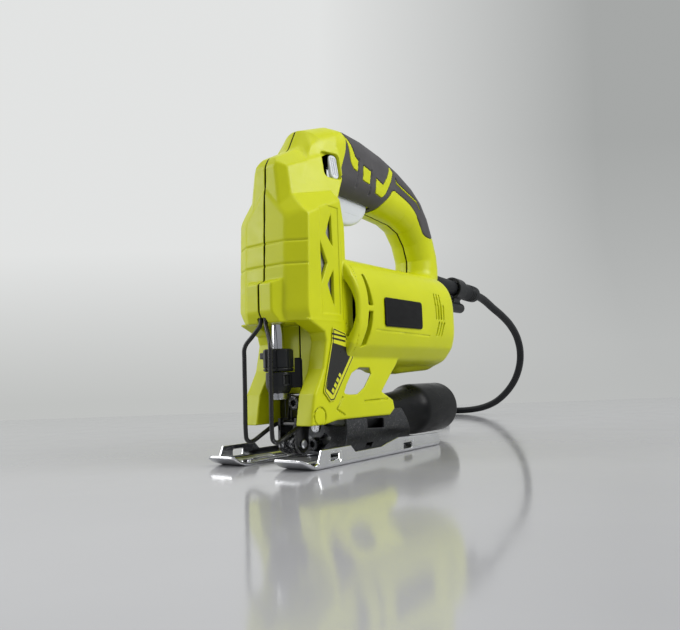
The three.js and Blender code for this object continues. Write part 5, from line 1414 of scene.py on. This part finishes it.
@dataclass(frozen=True)
class Roller:
    """The guide roller in its bracket, and the finger guard's wire."""

    x: float = 35.0
    z: float = 10.0
    wire: float = 1.2

    def bracket(self) -> bpy.types.Object:
        """The bracket: a bent plate with two cheeks whose lower ends are round."""
        def shape(q: Points) -> Array:
            plate = round_max(np.abs(q.x - 29.15) - 1.85, q.a - 13, 0.5)
            plate = round_max(plate, np.abs(q.z - 30.5) - 7.5, 1.2)
            rib = np.maximum(np.abs(q.a - 9.8) - 0.8, np.abs(q.z - 30.5) - 5.4)
            plate = soft_min(plate, np.maximum(rib, np.abs(q.x - 30.2) - 0.8), 0.5)
            outline = ((27.3, 23), (27.3, 38), (31, 38), (33.5, 24), (40, 24.5), (40.2, 10),
                       (35, 10), (30, 10), (29.6, 16))
            cheek = polygon(q.x, q.z, outline)
            disc = np.hypot(q.x - self.x, q.z - self.z) - 5.15
            cheek = soft_min(cheek, disc, 1.0)
            cheek = round_max(cheek, np.abs(q.a - 6) - 1.0, 0.35)
            d = soft_min(plate, cheek, 1.0)
            d = soft_max(d, 1.8 - np.hypot(q.x - self.x, q.z - self.z), 0.2)
            d = soft_max(d, 1.5 - np.hypot(q.x - 37.6, q.z - 21.3), 0.2)
            return soft_max(d, 2.5 - np.hypot(q.y, q.z - 32.5), 0.2)
        return moulded("roller_fork", shape, (27, -13.2, 4.6), (40.6, 13.2, 38.2), 0.35, 0.6)

    def guard(self) -> bpy.types.Object:
        """The guard: one bent wire, both ends hooked up into the nose."""
        out = 9.4
        half = [
            (57.6, 1.8, 81), (57.6, 1.8, 77), (57.9, 2.2, 75.2), (60.2, 5.8, 69.6), (62.2, 8.6, 65.4),
            (62.9, out, 62.6), (63, out, 58), (63, out, 40), (63, out, 18), (62.4, out, 14.8),
            (60.2, out, 13.3), (57.6, out, 13.4), (48, out + 0.2, 17.3), (40.4, out + 0.2, 20.5),
            (38.2, out - 0.6, 21.2), (37.6, out - 2, 21.3), (37.6, 5, 21.3),
        ]
        other = [(x, -y, z) for x, y, z in reversed(half)]
        return drawn("guard_wire", smooth_path([*half, *other], 0.8), self.wire, 18)

    def build(self, palette: Palette) -> None:
        """Makes the roller, its axle and bracket, and the guard."""
        half, r, bore = 4.6, 5.6, 1.8
        wheel = lathed("grooved_roller", (
            (-half, bore), (-half, r, 0.5), (-2.2, r, 0.3), (-1.2, 3.9, 0.3), (1.2, 3.9, 0.3),
            (2.2, r, 0.3), (half, r, 0.5), (half, bore)), "y", (self.x, 0, self.z), 96, True)
        seat(wheel, "guide_roller", "dark_steel", palette.blackened, "guide_roller")
        axle = lathed("roller_pin", (
            (-8.3, 0), (-8.3, 1.5, 0.4), (-8.0, 2.4, 0.4), (-7.3, 2.4), (-7.3, 1.5), (7.3, 1.5),
            (7.3, 2.4), (8.0, 2.4, 0.4), (8.3, 1.5, 0.4), (8.3, 0)), "y", (self.x, 0, self.z), 48)
        seat(axle, "housing", "dark_steel", palette.steel, "roller_axle")
        seat(self.bracket(), "housing", "black_metal", palette.gloss, "roller_bracket")
        seat(self.guard(), "housing", "black_metal", palette.enamel, "finger_guard")
        hex_screw("bracket_bolt", "x", (31.3, 0, 32.5), 4.0, 3.1, 2.2, -17.7, "housing",
                  palette, "bracket_screw")


def hex_screw(name: str, axis: str, place: Sequence[float], head: float, high: float, shank: float,
              reach: float, body: str, palette: Palette, node: str) -> bpy.types.Object:
    """A socket screw: its head starts at place and rises along the axis, its shank goes to reach."""
    ahead, u, v = (np.array(a, float) for a in AXES[axis])
    down = min(high - 0.8, 2.0)
    profile = eased(((reach, 0), (reach, shank, 0.4), (0, shank), (0, head, 0.3),
                     (high, head, 0.5), (high, 2.35, 0.1)), False)
    sides = 72
    turn = np.linspace(0, 2 * np.pi, sides, endpoint=False)
    ring = np.cos(turn)[:, None] * u + np.sin(turn)[:, None] * v
    grid = profile[:, :1, None] * ahead + profile[:, 1:, None] * ring[None]
    hexagon = 2.0 * math.cos(math.pi / 6) / np.cos((turn + math.pi / 6) % (math.pi / 3) - math.pi / 6)
    rows = [hexagon * s for s in (1.0, 1.0)]
    socket = np.stack([row[:, None] * ring + h * ahead for row, h in
                       zip(rows, (high - 0.12, high - down))])
    floor = (hexagon * 0.02)[:, None] * ring + (high - down - 0.2) * ahead
    grid = np.concatenate([grid, socket, floor[None]]) + np.asarray(place, float)
    return seat(surface(name, grid, True, False), body, "dark_steel", palette.blackened, node)


# ------------------------------------------------------------------ the base
@dataclass(frozen=True)
class Base:
    """What tilts: the pressed shoe, the saddle that it hangs from and the dust outlet."""

    half: float = 36.0
    sheet: float = 1.6
    tip: float = 68.0
    rear: float = -80.0
    pivot: float = 17.5
    saddle: float = 24.3

    def shoe(self) -> bpy.types.Object:
        """The shoe: a sheet with turned-up sides, ski tips, a gap for the blade and fence slots.

        The sheet is the space between a block with rounded edges and the same block drawn in by
        its thickness. The block's floor lifts in a parabola ahead of x = 56.
        """
        def shape(q: Points) -> Array:
            lift = np.maximum(q.x - 56, 0) ** 2 / 31.2
            z = q.z - lift
            plan = round_max(q.a - self.half, self.rear - q.x, 12.0)
            block = round_max(plan, -z, 2.6)
            shell = soft_max(block, -(block + self.sheet), 0.1)
            top = np.interp(q.x, (-80, -69, -19, -6, 0, 26, 30, 55.4, 58, 61, 70),
                            (5.0, 8.2, 9.6, 7.3, 6, 6, 9.8, 9.8, 3.6, 1.62, 1.62))
            rise = np.where(q.a > self.half - 6, top, np.where(q.x < -70, 5.0, 30.0))
            d = soft_max(shell, (z - rise) * 0.8, 0.4)
            corner = round_max(q.x - self.tip, q.a - self.half, 5.0)
            d = soft_max(d, round_max(corner, 13.5 - q.a, 2.2) * (q.x > 30) - 9 * (q.x <= 30), 0.3)
            gap = round_max(q.a - 13.5, 6 - q.x, 13.0)
            d = soft_max(d, -gap, 0.5)
            for x0, x1, z0, z1 in ((40, 48, 3.6, 7.1), (-35, -25, 2.2, 5.6)):
                slot = round_max(np.abs(q.x - (x0 + x1) / 2) - (x1 - x0) / 2,
                                 np.abs(q.z - (z0 + z1) / 2) - (z1 - z0) / 2, 0.6)
                side = np.maximum(slot, 30 - q.a)
                d = soft_max(d, -side, 0.3)
                d = soft_max(d, -np.maximum(slot - 1.1, 35.75 - q.a), 0.3)
            flat = (q.z < 4) & (q.a < 34)
            if flat.any():
                p = q.pick(flat)
                e = d[flat]
                for x0, x1, y0, y1 in ((20, 52, 17.5, 20), (20, 52, 29.5, 32)):
                    bead = round_max(np.abs(p.x - (x0 + x1) / 2) - (x1 - x0) / 2,
                                     np.abs(p.a - (y0 + y1) / 2) - (y1 - y0) / 2, 1.2)
                    e = soft_min(e, np.maximum(bead, np.abs(p.z - 1.5) - 0.75), 0.5)
                for x, y in ((26, 24.8), (44, 24.8), (-60, 22), (-60, 8)):
                    e = soft_max(e, 2.3 - np.hypot(p.x - x, p.a - y), 0.4)
                d[flat] = e
            return d
        return moulded("shoe_pressing", shape, (-81, -36.5, -0.5), (69, 36.5, 10.2), 0.5, 0.5)

    def trough(self) -> bpy.types.Object:
        """The saddle: a bent trough about the bevel axis with end walls, a slot and windows."""
        tail = ((16.5, -5), (16.5, 40), (-45, 40), (-45, 26), (-55.6, 9), (-55.6, -5))
        def shape(q: Points) -> Array:
            z = q.z - self.pivot
            r = np.hypot(q.y, z)
            block = soft_max(r - self.saddle, 1.9 - q.z, 1.6)
            shell = soft_max(block, -(block + 2.0), 0.1)
            lift = math.radians(20)
            d = round_max(shell, z * math.cos(lift) - q.a * math.sin(lift), 0.5)
            d = round_max(d, polygon(q.x, q.z, tail), 0.4)
            for x in (13.15, -42.85):
                wall = np.maximum(r - 22.8, z - 1.0)
                wall = np.minimum(np.maximum(wall, 2.4 - q.z), r - 6.4)
                wall = round_max(wall, np.abs(q.x - x) - 1.15, 0.3)
                d = soft_min(d, wall, 0.5)
            d = np.maximum(d, np.where(np.abs(q.x) < 60, 3.3 - r, -9))
            band = np.maximum(np.abs(r - 9.5) - 2.6, (z + r * math.sin(math.radians(28))))
            d = np.maximum(d, -np.maximum(band, np.abs(q.x - 13) - 4))
            window = polygon(q.x, q.z, ((-4, 16), (-22, 15), (-22, 20.6), (-4, 21.6)))
            d = soft_max(d, -np.maximum(window, 15 - q.a), 0.4)
            low = np.maximum(np.abs(q.x + 9.5) - 3.5, np.abs(q.z - 5.7) - 1.5)
            return soft_max(d, -np.maximum(low, 19 - q.a), 0.3)
        return moulded("saddle_pressing", shape, (-56.5, -25, 1.5), (17, 25, 27), 0.45, 0.5)

    def outlet(self) -> bpy.types.Object:
        """The dust outlet: a tube that swells into a drum, open at the rear."""
        x = -136.0
        corners = (
            (-44.3, 12), (-58, 12.3, 3), (-76, 13.4, 6), (-87, 15.6, 4), (-92.5, 18, 4.5),
            (-100, 18), (x + 0.2, 18, 1.6), (x, 16, 0.4), (x + 0.6, 16, 0.3), (-93, 16, 4),
            (-87, 13.6, 4), (-76, 11.4, 4), (-44.3, 10),
        )
        return lathed("dust_drum", corners, "x", (0, 0, 22), 128, True)

    def build(self, palette: Palette) -> None:
        """Makes the base."""
        seat(self.shoe(), "shoe", "bright_steel", palette.polished, "shoe")
        seat(self.trough(), "shoe", "dark_steel", palette.pressed, "saddle")
        seat(self.outlet(), "shoe", "black_nylon", palette.outlet, "dust_outlet")
        hex_screw("bevel_bolt", "x", (14.6, 0, 8.0), 3.8, 3.6, 2.2, -14.6, "housing", palette,
                  "bevel_screw")


# ------------------------------------------------------------------ studio
@dataclass(frozen=True)
class Studio:
    """The camera, the lamps, the floor and the backdrop."""

    place: tuple[float, float, float] = (0.31827, 0.24030, 0.04463)
    right: tuple[float, float, float] = (-0.589, 0.8075, -0.0342)
    up: tuple[float, float, float] = (0.0599, 0.0858, 0.9946)
    ahead: tuple[float, float, float] = (-0.8059, -0.5837, 0.0989)
    lens: float = 34.55
    floor_end: float = 0.62
    sweep_radius: float = 0.5
    backdrop_top: float = 3.0
    half_width: float = 4.0

    def camera(self) -> None:
        """Puts up the camera."""
        data = bpy.data.cameras.new("camera")
        data.lens, data.sensor_width, data.sensor_fit = self.lens, 36, "HORIZONTAL"
        data.clip_start, data.clip_end = 0.01, 30
        camera = bpy.data.objects.new("camera", data)
        back = -Vector(self.ahead).normalized()
        right = Vector(self.right)
        right = (right - right.dot(back) * back).normalized()
        up = back.cross(right)
        turn = Matrix((right, up, back)).transposed().to_4x4()
        camera.matrix_world = Matrix.Translation(self.place) @ turn
        bpy.context.scene.collection.objects.link(camera)
        bpy.context.scene.camera = camera

    def lamp(self, name: str, place: Sequence[float], aim: Sequence[float], size: tuple[float, float],
             power: float) -> None:
        """A soft box that faces a point."""
        data = bpy.data.lights.new(name, "AREA")
        data.shape, data.size, data.size_y, data.energy = "RECTANGLE", *size, power
        lamp = bpy.data.objects.new(name, data)
        lamp.location = place
        lamp.rotation_euler = (Vector(aim) - Vector(place)).to_track_quat("-Z", "Y").to_euler()
        bpy.context.scene.collection.objects.link(lamp)

    def ground(self) -> None:
        """A pale polished floor, and behind it a sweep that glows with painted light, lighter higher up and
        dimmer to the right.
        """
        ahead = np.array((*self.ahead[:2], 0.0))
        ahead /= np.linalg.norm(ahead)
        across = np.array((-ahead[1], ahead[0], 0.0))
        up = np.array((0.0, 0.0, 1.0))

        def sheet(name: str, outline: Array) -> bpy.types.Object:
            """A wide smooth sheet along an outline of places ahead and up."""
            sides = (-self.half_width, self.half_width)
            grid = [outline[:, :1] * ahead + outline[:, 1:] * up + side * across for side in sides]
            mesh = bpy.data.meshes.new(name)
            n = len(outline)
            mesh.from_pydata(np.concatenate(grid).tolist(), [],
                             [(k, k + 1, k + 1 + n, k + n) for k in range(n - 1)])
            mesh.polygons.foreach_set("use_smooth", np.ones(n - 1, bool))
            made = link(name, mesh)
            return made

        floor = sheet("floor", np.array(((-3, 0.0), (self.floor_end, 0.0))))
        turn = np.linspace(0, math.pi / 2, 24)
        radius = self.sweep_radius
        sweep = np.stack([self.floor_end + radius * np.sin(turn),
                          -0.004 + radius - radius * np.cos(turn)], 1)
        back = sheet("backdrop", np.vstack([sweep, (self.floor_end + radius, self.backdrop_top)]))
        g = Graph("floor_gloss", 0.16)
        g.set("Base Color", g.mix(g.noise(14, 3), (0.43, 0.43, 0.44, 1), (0.46, 0.46, 0.47, 1)))
        g.set("Roughness", g.curve(g.noise(40, 4), 0.3, 0.7, 0.08, 0.13))
        g.set("Specular IOR Level", 0.6)
        dress(floor, g.material)
        g = Graph("backdrop_painted_light", 0.9)
        # Painted light: the sweep's colour is emitted, lighter higher up and dimmer towards the camera's
        # right, in place of lamp light falling on it.
        height = g.node("ShaderNodeSeparateXYZ", Vector=g.place).outputs["Z"]
        lit = g.mix(g.curve(height, 0.02, 0.36), (0.53, 0.54, 0.53, 1), (0.76, 0.77, 0.765, 1))
        aside = g.node("ShaderNodeVectorMath", operation="DOT_PRODUCT", _0=g.place, _1=self.right)
        dim = g.mix(g.curve(height, 0.1, 0.6), (0.48, 0.49, 0.485, 1), (0.38, 0.39, 0.385, 1))
        shade = g.mix(g.curve(aside.outputs["Value"], -0.05, 0.62), lit, dim)
        g.set("Base Color", (0.0, 0.0, 0.0, 1))
        g.set("Specular IOR Level", 0.0)
        g.set("Emission Color", shade)
        g.set("Emission Strength", 1.0)
        dress(back, g.material)

    def build(self) -> None:
        """Puts up the floor, the sweep, the soft boxes and the room's light."""
        self.ground()
        self.lamp("key", (-0.25, 0.95, 0.75), (0, 0, 0.1), (0.7, 0.7), 9.8)
        self.lamp("top", (0.1, 0.1, 1.3), (0, 0, 0.1), (0.9, 0.9), 2.8)
        self.lamp("far_side", (0.7, -0.8, 0.5), (0.03, 0, 0.1), (0.4, 0.9), 5.6)
        world = bpy.data.worlds.new("room")
        bpy.context.scene.world = world
        world.use_nodes = True
        shade = world.node_tree.nodes["Background"]
        shade.inputs["Color"].default_value = (0.93, 0.95, 1.0, 1)
        shade.inputs["Strength"].default_value = 0.38


# ------------------------------------------------------------------ what the frame shows as it is
CARRIED = {
    "steel": ("front_bearing", "rear_bearing", "armature_shaft", "gear_axle", "front_bevel_pin",
              "rear_bevel_pin", "trigger_pin"),
    "blackened": ("armature_core", "stator_core", "drive_gear"),
    "copper": ("armature_windings", "commutator", "field_coil_left", "field_coil_right"),
    "bronze": ("lower_bush", "upper_bush", "brush_holder_left", "brush_holder_right"),
    "carbon": ("brush_left", "brush_right"),
    "cast": ("gear_case", "scotch_yoke", "base_block"),
    "nylon": ("cooling_fan", "switch_module"),
}


def dress_carried(palette: Palette) -> None:
    """Gives each inner frame node the finish of its real piece."""
    for finish, nodes in CARRIED.items():
        for node in nodes:
            dress(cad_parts[node], getattr(palette, finish))


def build_body(palette: Palette) -> None:
    """Makes the mouldings, the soft grips and the screws that hold the halves."""
    for node, piece in Housing().build().items():
        soft = node.startswith("grip")
        seat(piece, "housing", "charcoal_grip" if soft else "lime_abs",
             palette.charcoal if soft else palette.lime, node)
    for screw in SCREWS:
        face = -screw.half + 3.3
        hex_screw(f"{screw.name}_bolt", "-y", (screw.x, face, screw.z), 3.4, 2.6, 1.6,
                  face - 10, "housing", palette, f"{screw.name}_screw")


def main() -> None:
    """Builds the scene: camera and cord first, then every sub-assembly of the tool."""
    logging.basicConfig(level=logging.INFO, format="%(message)s")
    bpy.context.scene.view_settings.view_transform = "Standard"
    studio = Studio()
    studio.camera()
    palette = Palette()
    Cord().build(palette)
    build_body(palette)
    Plates().build(palette)
    Keys().build(palette)
    Clamp().build(palette)
    Roller().build(palette)
    Base().build(palette)
    dress_carried(palette)
    studio.build()


if __name__ == "__main__":
    main()
